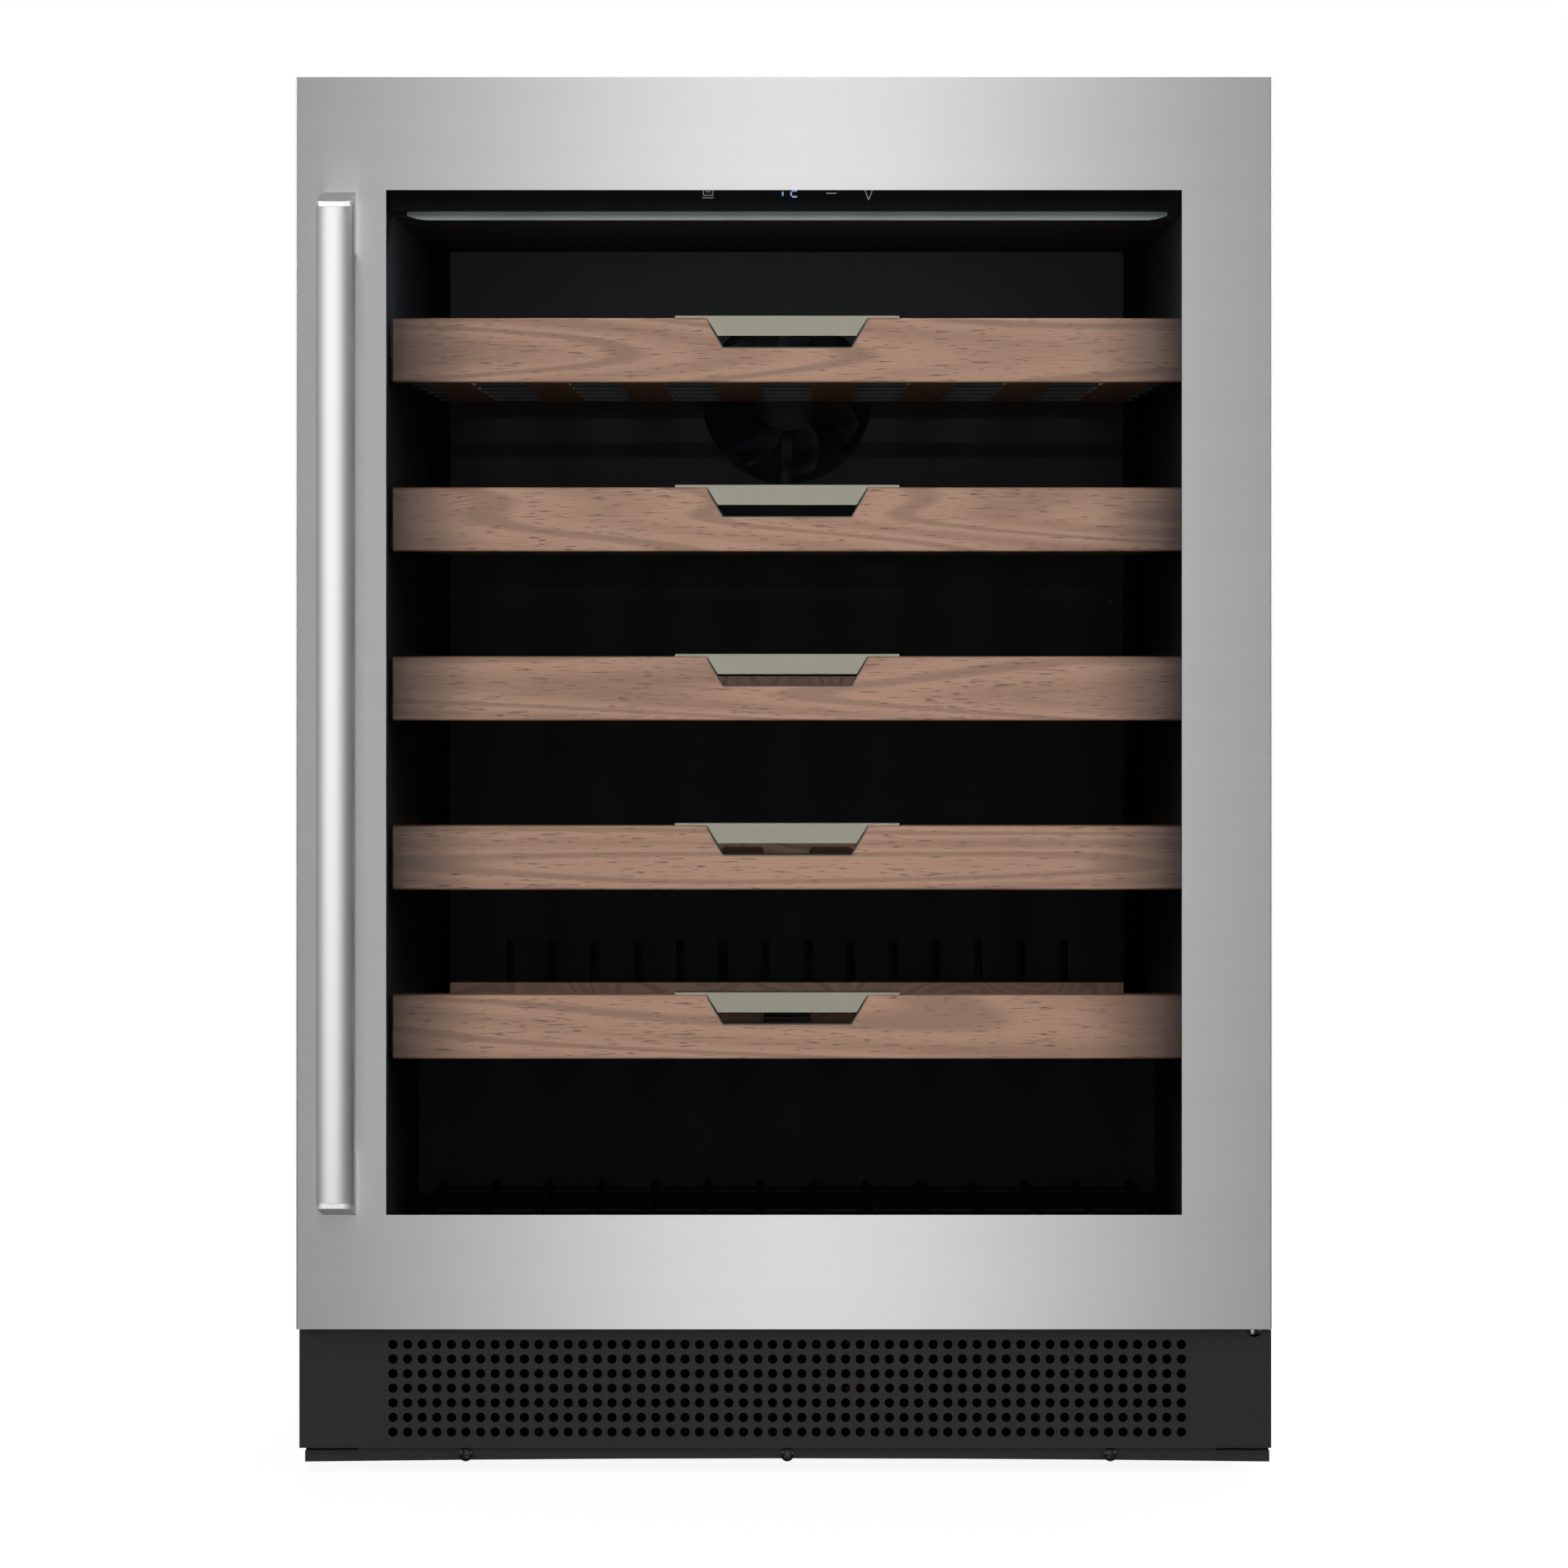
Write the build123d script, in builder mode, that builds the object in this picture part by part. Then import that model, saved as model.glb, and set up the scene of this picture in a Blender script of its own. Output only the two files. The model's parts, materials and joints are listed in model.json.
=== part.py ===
from build123d import *
import os

# A 24-inch built-in wine cooler: a foamed cabinet with a glazed steel door, five pull-out shelves,
# and the cooling machine behind a pierced plinth. All sizes are in millimetres.
# X runs to the right, Y to the back and Z up; the origin is on the floor under the middle.

# ---- cabinet ----
cab_mid = 2.0  # the cabinet stands this far right of the door's middle
cab_half = 300.0
cab_front, cab_back = -229.0, 327.0
shell_top = 861.5
sheet = 1.0  # sheet steel of the shell, panels and divider
gap = 0.1  # between pieces that are fitted against each other
flange, flange_thick = 14.0, 3.0  # the liner's rim, behind the shell's front frame
cab_left, cab_right = cab_mid - cab_half, cab_mid + cab_half
pan_bottom, pan_top, pan_half, pan_lip_low = 14.5, 16.0, 299.5, 8.5
rail_bottom = 88.0  # lower edge of the shell's front frame
divider_low, divider_high = 93.0, 206.0  # top of the divider, ahead of and over the machine space
machine_front = 117.0

# ---- liner ----
liner_half = 252.5
liner_wall = 2.0
floor_z, hump_z, ceiling_z, recess_z = 135.0, 236.5, 788.0, 828.0
hump_foot_y, hump_top_y, liner_back, recess_back = 97.0, 105.0, 282.0, -150.0
liner_left, liner_right = cab_mid - liner_half, cab_mid + liner_half

# ---- door ----
door_half = 303.0
door_front, door_back = -279.0, -235.0
door_bottom, door_top = 89.0, 866.6
skin = 1.2
window_half, window_low, window_high = 247.1, 160.0, 796.5
pane_half, pane_low, pane_high, pane_thick = 261.0, 146.0, 810.0, 4.0
outer_pane_y, inner_pane_y = -276.5, -260.5
spacer_wide = 8.0
inner_frame_y = -256.0
view_half, view_low, view_high = 252.5, 153.0, 801.0  # opening of the door's inner frame
cap_height = 14.0
return_back = door_back - sheet  # where the skin's side returns end
gasket_half, gasket_low, gasket_high, gasket_wide = 275.0, 113.0, 851.0, 20.0

# ---- hinge, on the right ----
hinge_x, hinge_y = 292.5, -257.0
pin_radius, bush_bore, bush_radius = 4.0, 4.05, 6.0
arm_half = 8.0
arm_low, arm_thick = 861.5, 3.0
plate_x, plate_back = (240.0, 300.0), -185.0  # the upper bracket's plate on the cabinet
upper_pin_low, upper_pin_long = 853.0, 15.0
lower_arm, lower_pin_long, side_plate_low = 84.0, 17.5, 40.0
lower_plate_left, lower_plate_back = 262.0, -190.0
collar_low, collar_radius, bush_short = 87.2, 7.5, 5.8
pocket_floor, pocket_left, pocket_front = 861.0, 281.0, -272.0

# ---- handle ----
handle_x, handle_half = -276.0, 11.2
handle_front, handle_back = -327.0, -308.0
handle_low, handle_high = 160.0, 795.0  # at the door; the ends slope in towards the front
end_slope = 9.0 / (door_front - handle_front)
handle_shoulder = -320.5  # where the flat sides meet the crowned front
post_tall, cap_thick, cap_inset = 37.5, 3.0, 0.8
stud_radius, stud_length = 3.0, 9.0
bar_front_round, bar_back_round, cap_round, upright_round = 1.5, 0.8, 5.0, 1.0

# ---- shelves ----
shelf_count, shelf_pitch, first_shelf_top = 5, 107.1, 720.3
board_front, board_thick, board_tall, board_half = -209.0, 16.0, 40.6, 249.5
notch_top_half, notch_low_half, notch_deep = 51.5, 41.0, 19.0
trim_half, trim_low_half, trim_thick, trim_drop = 71.0, 44.0, 1.5, 11.1
trim_play = 0.4  # between the trim's drop and the notch that it hangs in, at the top
slat_count, slat_pitch, slat_wide, slat_thick, slat_lift = 8, 62.1, 30.0, 10.0, 0.8
slat_front, slat_back = board_front + board_thick, 176.0
strip_count, strip_pitch, strip_wide, strip_thick = 6, 70.0, 15.0, 2.8
rail_thick, runner_thick, rail_play = 5.0, 6.0, 0.3
rail_y, runner_tall = (-188.0, 180.0), 14.0
rear_bar_thick, rear_bar_tall, rear_bar_in = 12.0, 22.0, 14.0

# ---- plinth ----
kick_half, kick_front, kick_low, kick_high = 302.2, -274.0, 14.6, 88.0
kick_mid = 0.8
vent_columns, vent_rows, vent_pitch, vent_radius = 55, 7, 9.08, 2.95
vent_z = 51.7
strip_front, strip_low, strip_rise, strip_high = -272.0, 5.8, 2.0, 14.4
strip_notch_long, strip_notch_deep = 33.0, 1.5
screw_xs, screw_z, screw_head, screw_shank = (-198.0, cab_mid, 203.0), 10.2, 4.2, 2.0
leg_x, leg_ys = 258.0, (-190.0, 285.0)
pad_radius, pad_thick, stud_leg, leg_bore, leg_top = 19.0, 8.0, 5.0, 5.05, 44.0
pad_bevel = 3.0
boss_radius, boss_top = 10.0, 28.0

# ---- cooling machine ----
fan_z, fan_bore, fan_hub, fan_tip, fan_frame = 683.0, 59.5, 23.0, 54.0, 3.5
motor_radius, motor_long, shaft_bore, strut_half = 20.0, 24.0, 1.55, 4.0
duct_front, duct_flat_half, duct_side_half, duct_back = 205.0, 237.0, 250.0, 232.0
duct_wall, duct_strut_y = 2.0, (234.0, 237.0)
duct_slot_count, duct_slot_pitch, duct_slot_half, duct_slot_z = 14, 30.0, 3.0, (262.0, 302.0)
evaporator_half, evaporator_y, evaporator_z = 200.0, (242.0, 274.0), (310.0, 580.0)
condenser_x, condenser_y, condenser_z = (-250.0, 40.0), (-190.0, -90.0), (22.0, 84.0)
fin_thick, tube_radius = 0.8, 4.0
cool_fan, shroud_half, shroud_z = (85.0, 138.0, 110.0), 80.0, (17.0, 200.0)
shroud_bore, shroud_wall, shroud_y = 66.0, 3.0, (122.0, 124.0)
shroud_deep, cool_strut_y, cool_motor_long = 32.0, (153.0, 156.0), 27.0
louvre_centre, louvre_pitch, louvre_count = (-18.0, 120.0), (95.0, 14.0), (5, 9)
louvre_long, louvre_tall = 80.0, 6.0
inlet_x, inlet_z, inlet_front = (228.0, 264.0), (50.0, 78.0), 302.0
inlet_wall, inlet_floor, pin_half, pin_pitch, pin_z = 4.0, 6.0, 1.0, 7.0, (61.0, 67.0)
pot_x, pot_y, pot_radius, pot_low, pot_high = -150.0, 215.0, 60.0, 24.0, 170.0
pipe_radius, pipe_hole = 3.0, 5.0
liquid_y, suction_y, riser_x = 268.0, 246.0, -230.0
coil_end_x, condenser_end_y, hot_x, hot_z, liquid_z = -198.5, -89.5, -55.0, 60.0, 50.0
liquid_inlet_z, suction_outlet_z, suction_z = 300.0, 295.0, 192.0
pot_round, pot_foot_half, pot_foot_low = 28.0, (74.0, 50.0), 20.0
grommet_at, grommet_tall, grommet_radius = (62.0, 40.0), 4.0, 9.0

ALONG_X, ALONG_Y, ALONG_Z = (0, 90, 0), (-90, 0, 0), (0, 0, 0)
os.makedirs("parts", exist_ok=True)


def slab(x, y, z, mode=Mode.ADD):
    """A block between two X, two Y and two Z values, in the part that is being built."""
    with Locations((x[0], y[0], z[0])):
        Box(x[1] - x[0], y[1] - y[0], z[1] - z[0], align=(Align.MIN,) * 3, mode=mode)


def ring(x, y, z, hole_x, hole_z):
    """An upright frame: a slab with a rectangular hole through it from front to back."""
    slab(x, y, z)
    slab(hole_x, (y[0] - 1, y[1] + 1), hole_z, mode=Mode.SUBTRACT)


def rod(start, direction, length, radius, mode=Mode.ADD):
    """A round bar from its start along X, Y or Z."""
    with Locations(Location(start, direction)):
        Cylinder(radius, length, align=(Align.CENTER, Align.CENTER, Align.MIN), mode=mode)


def about(middle, half):
    """The two values that lie half either side of the middle."""
    return (middle - half, middle + half)


def liner_side(front, grow):
    """The liner's side view as Y, Z points, grown outwards from its inner face."""
    return [
        (front, floor_z - grow),
        (hump_foot_y + grow, floor_z - grow),
        (hump_top_y + grow, hump_z - grow),
        (liner_back + grow, hump_z - grow),
        (liner_back + grow, ceiling_z + grow),
        (recess_back + grow, ceiling_z + grow),
        (recess_back + grow, recess_z + grow),
        (front, recess_z + grow),
    ]


# ================= cabinet =================

liner_out = liner_wall + gap
with BuildPart() as outer_shell:
    for x in ((cab_left, cab_left + sheet), (cab_right - sheet, cab_right)):
        slab(x, (cab_front, cab_back - sheet), (pan_top, shell_top))
    slab((cab_left, cab_right), (cab_front, cab_back - sheet), (shell_top - sheet, shell_top))
    front_sheet = (cab_front, cab_front + sheet)
    slab((cab_left, cab_right), front_sheet, (rail_bottom, shell_top))
    opening_x = (liner_left - liner_out, liner_right + liner_out)
    slab(opening_x, (-240, -220), (floor_z - liner_out, recess_z + liner_out), mode=Mode.SUBTRACT)
outer_shell.part.label = "outer_shell"
export_step(outer_shell.part, "parts/outer_shell.step")

with BuildPart() as inner_liner:
    with BuildSketch(Plane.YZ.offset(liner_left - liner_wall)):
        with BuildLine():
            Polyline(*liner_side(cab_front - 0.4, liner_wall), close=True)
        make_face()
    extrude(amount=2 * (liner_half + liner_wall))
    flange_x = (liner_left - flange, liner_right + flange)
    flange_y = (cab_front + sheet, cab_front + flange_thick)
    slab(flange_x, flange_y, (floor_z - flange, recess_z + flange))
    with BuildSketch(Plane.YZ.offset(liner_left)):
        with BuildLine():
            Polyline(*liner_side(cab_front - 10, 0), close=True)
        make_face()
    extrude(amount=2 * liner_half, mode=Mode.SUBTRACT)
    for y in (liquid_y, suction_y):
        rod((riser_x, y, hump_z - 10), ALONG_Z, 20, pipe_hole, mode=Mode.SUBTRACT)
inner_liner.part.label = "inner_liner"
export_step(inner_liner.part, "parts/inner_liner.step")

inside_x = (cab_left + sheet + gap, cab_right - sheet - gap)
inside_back = cab_back - sheet - gap
with BuildPart() as foam_insulation:
    foam_y = (cab_front + flange_thick + gap, inside_back)
    slab(inside_x, foam_y, (divider_low + gap, shell_top - sheet - gap))
    slab(
        (cab_left, cab_right),
        (machine_front - gap, cab_back),
        (0, divider_high + gap),
        mode=Mode.SUBTRACT,
    )
    with BuildSketch(Plane.YZ.offset(liner_left - liner_out)):
        with BuildLine():
            Polyline(*liner_side(cab_front, liner_out), close=True)
        make_face()
    extrude(amount=2 * (liner_half + liner_out), mode=Mode.SUBTRACT)
    for y in (liquid_y, suction_y):
        rod((riser_x, y, divider_high - 5), ALONG_Z, 40, pipe_hole, mode=Mode.SUBTRACT)
foam_insulation.part.label = "foam_insulation"
export_step(foam_insulation.part, "parts/foam_insulation.step")

with BuildPart() as machine_divider:
    slab(inside_x, (cab_front + sheet + gap, machine_front), (divider_low - sheet, divider_low))
    slab(inside_x, (machine_front, machine_front + sheet), (divider_low - sheet, divider_high))
    slab(inside_x, (machine_front, inside_back), (divider_high - sheet, divider_high))
    for y in (liquid_y, suction_y):
        rod((riser_x, y, divider_high - 5), ALONG_Z, 10, pipe_hole, mode=Mode.SUBTRACT)
machine_divider.part.label = "machine_divider"
export_step(machine_divider.part, "parts/machine_divider.step")

with BuildPart() as back_panel:
    with BuildSketch(Plane.XZ.offset(-cab_back)):
        with Locations((cab_mid, (divider_high + shell_top) / 2)):
            Rectangle(2 * cab_half, shell_top - divider_high - 2 * gap)
            with GridLocations(2 * cab_half - 120, shell_top - divider_high - 120, 2, 2):
                Circle(2.2, mode=Mode.SUBTRACT)
    extrude(amount=sheet)
back_panel.part.label = "back_panel"
export_step(back_panel.part, "parts/back_panel.step")

inlet_mid = (sum(inlet_x) / 2, sum(inlet_z) / 2)
inlet_wide, inlet_tall = inlet_x[1] - inlet_x[0], inlet_z[1] - inlet_z[0]
with BuildPart() as rear_cover:
    with BuildSketch(Plane.XZ.offset(-cab_back)):
        with Locations((cab_mid, (pan_top + divider_high) / 2)):
            Rectangle(2 * cab_half, divider_high - pan_top - 2 * gap)
        with Locations(louvre_centre):
            with GridLocations(*louvre_pitch, *louvre_count):
                SlotOverall(louvre_long, louvre_tall, mode=Mode.SUBTRACT)
        with Locations(inlet_mid):
            Rectangle(inlet_wide + 2 * gap, inlet_tall + 2 * gap, mode=Mode.SUBTRACT)
    extrude(amount=sheet)
rear_cover.part.label = "rear_cover"
export_step(rear_cover.part, "parts/rear_cover.step")

with BuildPart() as power_inlet:
    slab(inlet_x, (inlet_front, cab_back), inlet_z)
    slab(
        (inlet_x[0] + inlet_wall, inlet_x[1] - inlet_wall),
        (inlet_front + inlet_floor, cab_back + 1),
        (inlet_z[0] + inlet_wall, inlet_z[1] - inlet_wall),
        mode=Mode.SUBTRACT,
    )
    for x in (inlet_mid[0] - pin_pitch, inlet_mid[0], inlet_mid[0] + pin_pitch):
        slab(about(x, pin_half), (inlet_front + inlet_floor - 1, cab_back - 4), pin_z)
power_inlet.part.label = "power_inlet"
export_step(power_inlet.part, "parts/power_inlet.step")

lip_y = (strip_front + skin + 0.2, strip_front + skin + 0.2 + sheet)
with BuildPart() as base_pan:
    pan_x = about(cab_mid, pan_half)
    slab(pan_x, (lip_y[0], cab_back), (pan_bottom, pan_top))
    slab(pan_x, lip_y, (pan_lip_low, pan_bottom))
    for x in screw_xs:
        rod((x, lip_y[0] - 1, screw_z), ALONG_Y, 4, screw_shank + gap, mode=Mode.SUBTRACT)
    for x in about(cab_mid, leg_x):
        for y in leg_ys:
            rod((x, y, pan_top), ALONG_Z, boss_top - pan_top, boss_radius)
            rod((x, y, 0), ALONG_Z, 60, leg_bore, mode=Mode.SUBTRACT)
base_pan.part.label = "base_pan"
export_step(base_pan.part, "parts/base_pan.step")

with BuildPart() as duct_cover:
    with BuildSketch(Plane.XY.offset(hump_z + 1)):
        with BuildLine():
            Polyline(
                (cab_mid - duct_side_half, duct_back),
                (cab_mid - duct_flat_half, duct_front),
                (cab_mid + duct_flat_half, duct_front),
                (cab_mid + duct_side_half, duct_back),
                (cab_mid + duct_side_half - duct_wall, duct_back),
                (cab_mid + duct_flat_half - 1, duct_front + duct_wall),
                (cab_mid - duct_flat_half + 1, duct_front + duct_wall),
                (cab_mid - duct_side_half + duct_wall, duct_back),
                close=True,
            )
        make_face()
    extrude(amount=ceiling_z - hump_z - 2)
    rod((cab_mid, duct_front - 5, fan_z), ALONG_Y, 20, fan_bore, mode=Mode.SUBTRACT)
    rod((cab_mid, duct_front + duct_wall, fan_z), ALONG_Y, 30, fan_bore + fan_frame)
    rod((cab_mid, duct_front, fan_z), ALONG_Y, 40, fan_bore, mode=Mode.SUBTRACT)
    slab(about(cab_mid, fan_bore + 1), duct_strut_y, about(fan_z, strut_half))
    slab(about(cab_mid, strut_half), duct_strut_y, about(fan_z, fan_bore + 1))
    rod((cab_mid, duct_strut_y[0], fan_z), ALONG_Y, motor_long, motor_radius)
    rod((cab_mid, duct_strut_y[0] - 1, fan_z), ALONG_Y, 20, shaft_bore, mode=Mode.SUBTRACT)
    for k in range(duct_slot_count):
        x = cab_mid + (k - (duct_slot_count - 1) / 2) * duct_slot_pitch
        slot_y = (duct_front - 5, duct_front + 5)
        slab(about(x, duct_slot_half), slot_y, duct_slot_z, mode=Mode.SUBTRACT)
duct_cover.part.label = "duct_cover"
export_step(duct_cover.part, "parts/duct_cover.step")


def finned_coil(x, y, z, fins, tube_ys, tube_zs):
    """Aluminium fins standing across X on copper tubes that run along it."""
    pitch = (x[1] - x[0] - 20) / (fins - 1)
    middle = ((x[0] + x[1]) / 2, (y[0] + y[1]) / 2, (z[0] + z[1]) / 2)
    with BuildPart() as coil:
        with Locations([(middle[0] + (k - (fins - 1) / 2) * pitch, *middle[1:]) for k in range(fins)]):
            Box(fin_thick, y[1] - y[0], z[1] - z[0])
        for tube_y in tube_ys:
            for tube_z in tube_zs:
                rod((x[0], tube_y, tube_z), ALONG_X, x[1] - x[0], tube_radius)
    return coil.part


def fan_rotor(centre, hub_radius, tip_radius, depth, blades, chord, shaft_length):
    """A hub with pitched blades that turns about Y, with its shaft towards the back."""
    span = tip_radius - hub_radius + 2
    with BuildPart(Plane(origin=centre, x_dir=(1, 0, 0), z_dir=(0, 1, 0))) as rotor:
        Cylinder(hub_radius, depth)
        with PolarLocations(hub_radius - 2 + span / 2, blades):
            Box(span, chord, 1.6, rotation=(35, 0, 0))
        with Locations((0, 0, (depth + shaft_length) / 2)):
            Cylinder(1.5, shaft_length)
    return rotor.part


evaporator_coil = finned_coil(
    about(cab_mid, evaporator_half),
    evaporator_y,
    evaporator_z,
    fins=30,
    tube_ys=(251, 265),
    tube_zs=range(325, 580, 40),
)
evaporator_coil.label = "evaporator_coil"
export_step(evaporator_coil, "parts/evaporator_coil.step")

condenser_coil = finned_coil(
    condenser_x, condenser_y, condenser_z, fins=24, tube_ys=(-175, -140, -105), tube_zs=(38, 68)
)
condenser_coil.label = "condenser_coil"
export_step(condenser_coil, "parts/condenser_coil.step")

circulation_fan_rotor = fan_rotor(
    (cab_mid, 220, fan_z), fan_hub, fan_tip, depth=18, blades=7, chord=28, shaft_length=12
)
circulation_fan_rotor.label = "circulation_fan_rotor"
export_step(circulation_fan_rotor, "parts/circulation_fan_rotor.step")

condenser_fan_rotor = fan_rotor(cool_fan, 22, 60, depth=18, blades=5, chord=34, shaft_length=14)
condenser_fan_rotor.label = "condenser_fan_rotor"
export_step(condenser_fan_rotor, "parts/condenser_fan_rotor.step")

with BuildPart() as condenser_fan_shroud:
    slab(about(cool_fan[0], shroud_half), shroud_y, shroud_z)
    rod((cool_fan[0], shroud_y[1], cool_fan[2]), ALONG_Y, shroud_deep, shroud_bore + shroud_wall)
    rod((cool_fan[0], shroud_y[0] - 2, cool_fan[2]), ALONG_Y, 40, shroud_bore, mode=Mode.SUBTRACT)
    slab(about(cool_fan[0], shroud_bore + 1), cool_strut_y, about(cool_fan[2], strut_half))
    slab(about(cool_fan[0], strut_half), cool_strut_y, about(cool_fan[2], shroud_bore + 1))
    rod((cool_fan[0], cool_strut_y[0], cool_fan[2]), ALONG_Y, cool_motor_long, motor_radius)
    rod((cool_fan[0], cool_strut_y[0] - 3, cool_fan[2]), ALONG_Y, 20, shaft_bore, mode=Mode.SUBTRACT)
condenser_fan_shroud.part.label = "condenser_fan_shroud"
export_step(condenser_fan_shroud.part, "parts/condenser_fan_shroud.step")

with BuildPart() as compressor:
    rod((pot_x, pot_y, pot_low), ALONG_Z, pot_high - pot_low, pot_radius)
    fillet(compressor.edges().filter_by(GeomType.CIRCLE).sort_by(Axis.Z)[-1], pot_round)
    slab(about(pot_x, pot_foot_half[0]), about(pot_y, pot_foot_half[1]), (pot_foot_low, pot_low))
    for x in about(pot_x, grommet_at[0]):
        for y in about(pot_y, grommet_at[1]):
            rod((x, y, pan_top), ALONG_Z, grommet_tall, grommet_radius)
compressor.part.label = "compressor"
export_step(compressor.part, "parts/compressor.step")


def pipe(route, bends):
    """A copper tube along straight runs joined by arcs."""
    with BuildPart() as tube:
        with BuildLine() as path:
            FilletPolyline(*route, radius=bends)
        with BuildSketch(Plane(origin=path.line @ 0, z_dir=path.line % 0)):
            Circle(pipe_radius)
        sweep()
    return tube.part


pot_side = pot_x + pot_radius + 0.3
refrigerant_pipes = Compound(
    children=[
        pipe([(pot_side, pot_y, hot_z), (hot_x, pot_y, hot_z), (hot_x, condenser_end_y, hot_z)], 25),
        pipe(
            [
                (riser_x, condenser_end_y, liquid_z),
                (riser_x, liquid_y, liquid_z),
                (riser_x, liquid_y, liquid_inlet_z),
                (coil_end_x, liquid_y, liquid_inlet_z),
            ],
            25,
        ),
        pipe(
            [
                (coil_end_x, suction_y, suction_outlet_z),
                (riser_x, suction_y, suction_outlet_z),
                (riser_x, suction_y, suction_z),
                (pot_x, suction_y, suction_z),
                (pot_x, suction_y, pot_high + 0.5),
            ],
            [15, 18, 14],
        ),
    ]
)
refrigerant_pipes.label = "refrigerant_pipes"
export_step(refrigerant_pipes, "parts/refrigerant_pipes.step")

# ---- control box and lamp, in the recess of the ceiling ----
box_x, box_front, box_wall = about(cab_mid, liner_half - 1), -212.0, 2.5
panel_wide, panel_thick, panel_corner = 476.0, 1.6, 3.0
with BuildPart() as control_housing:
    slab(box_x, (box_front, recess_back - 1), (ceiling_z + 0.2, recess_z - 0.5))
    slab(
        (box_x[0] + box_wall, box_x[1] - box_wall),
        (box_front + box_wall, recess_back - 1 - box_wall),
        (ceiling_z + 0.2 + box_wall, recess_z),
        mode=Mode.SUBTRACT,
    )
control_housing.part.label = "control_housing"
export_step(control_housing.part, "parts/control_housing.step")

with BuildPart() as touch_panel:
    with BuildSketch(Plane.XZ.offset(-box_front)):
        with Locations((cab_mid, (ceiling_z + recess_z) / 2)):
            RectangleRounded(panel_wide, recess_z - ceiling_z - 3, panel_corner)
    extrude(amount=panel_thick)
touch_panel.part.label = "touch_panel"
export_step(touch_panel.part, "parts/touch_panel.step")

lamp_y, lamp_half_long, lamp_half_wide, lamp_point, lamp_deep = -195.0, 241.5, 6.0, 8.0, 5.0
with BuildPart() as led_lens:
    with BuildSketch(Plane.XY.offset(ceiling_z + 0.2)):
        with BuildLine():
            Polyline(
                (cab_mid - lamp_half_long, lamp_y),
                (cab_mid - lamp_half_long + lamp_point, lamp_y - lamp_half_wide),
                (cab_mid + lamp_half_long - lamp_point, lamp_y - lamp_half_wide),
                (cab_mid + lamp_half_long, lamp_y),
                (cab_mid + lamp_half_long - lamp_point, lamp_y + lamp_half_wide),
                (cab_mid - lamp_half_long + lamp_point, lamp_y + lamp_half_wide),
                close=True,
            )
        make_face()
    extrude(amount=-lamp_deep)
led_lens.part.label = "led_lens"
export_step(led_lens.part, "parts/led_lens.step")

# ---- shelf rails on the liner's walls, and the wire rack on its floor ----
shelf_tops = [first_shelf_top - k * shelf_pitch for k in range(shelf_count)]
with BuildPart() as shelf_rails:
    for top in shelf_tops:
        low = top - board_tall
        for x in ((liner_left, liner_left + rail_thick), (liner_right - rail_thick, liner_right)):
            slab(x, rail_y, (low + 2, low + 16))
shelf_rails.part.label = "shelf_rails"
export_step(shelf_rails.part, "parts/shelf_rails.step")

cross_wire, long_wire, rack_half, rack_front, rack_long = 3.0, 2.5, 240.0, -190.0, 278.0
wire_count, wire_pitch = 14, 36.0
with BuildPart() as floor_rack:
    for y in (-185, -45, 80):
        rod((cab_mid - rack_half, y, floor_z + cross_wire), ALONG_X, 2 * rack_half, cross_wire)
    for k in range(wire_count):
        x = cab_mid + (k - (wire_count - 1) / 2) * wire_pitch
        rod((x, rack_front, floor_z + 8), ALONG_Y, rack_long, long_wire)
floor_rack.part.label = "floor_rack"
export_step(floor_rack.part, "parts/floor_rack.step")

# ================= plinth and feet =================

with BuildPart() as kick_grille:
    with BuildSketch(Plane.XZ.offset(-(kick_front + skin))):
        with Locations((kick_mid, (kick_low + kick_high) / 2)):
            Rectangle(2 * kick_half, kick_high - kick_low)
        with Locations((cab_mid, vent_z)):
            with GridLocations(vent_pitch, vent_pitch, vent_columns, vent_rows):
                Circle(vent_radius, mode=Mode.SUBTRACT)
        with Locations((hinge_x, kick_high)):
            Circle(4.5, mode=Mode.SUBTRACT)
    extrude(amount=skin)
    kick_x = about(kick_mid, kick_half)
    for x in ((kick_x[0], kick_x[0] + skin), (kick_x[1] - skin, kick_x[1])):
        slab(x, (kick_front + skin, cab_front - 1), (kick_low, kick_high - 1))
    slab((kick_x[0], 275), (kick_front + skin, kick_front + 12), (kick_high - skin, kick_high))
kick_grille.part.label = "kick_grille"
export_step(kick_grille.part, "parts/kick_grille.step")

with BuildPart() as base_strip:
    with BuildSketch(Plane.XZ.offset(-(strip_front + skin))):
        with BuildLine():
            notch_z = strip_high - strip_notch_deep
            inner_left, inner_right = cab_left + strip_notch_long, cab_right - strip_notch_long
            ThreePointArc(
                (cab_left, strip_low), (cab_mid, strip_low + strip_rise), (cab_right, strip_low)
            )
            Polyline(
                (cab_right, strip_low),
                (cab_right, notch_z),
                (inner_right, notch_z),
                (inner_right, strip_high),
                (inner_left, strip_high),
                (inner_left, notch_z),
                (cab_left, notch_z),
                (cab_left, strip_low),
            )
        make_face()
        with Locations([(x, screw_z) for x in screw_xs]):
            Circle(screw_shank + gap, mode=Mode.SUBTRACT)
    extrude(amount=skin)
base_strip.part.label = "base_strip"
export_step(base_strip.part, "parts/base_strip.step")

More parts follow.
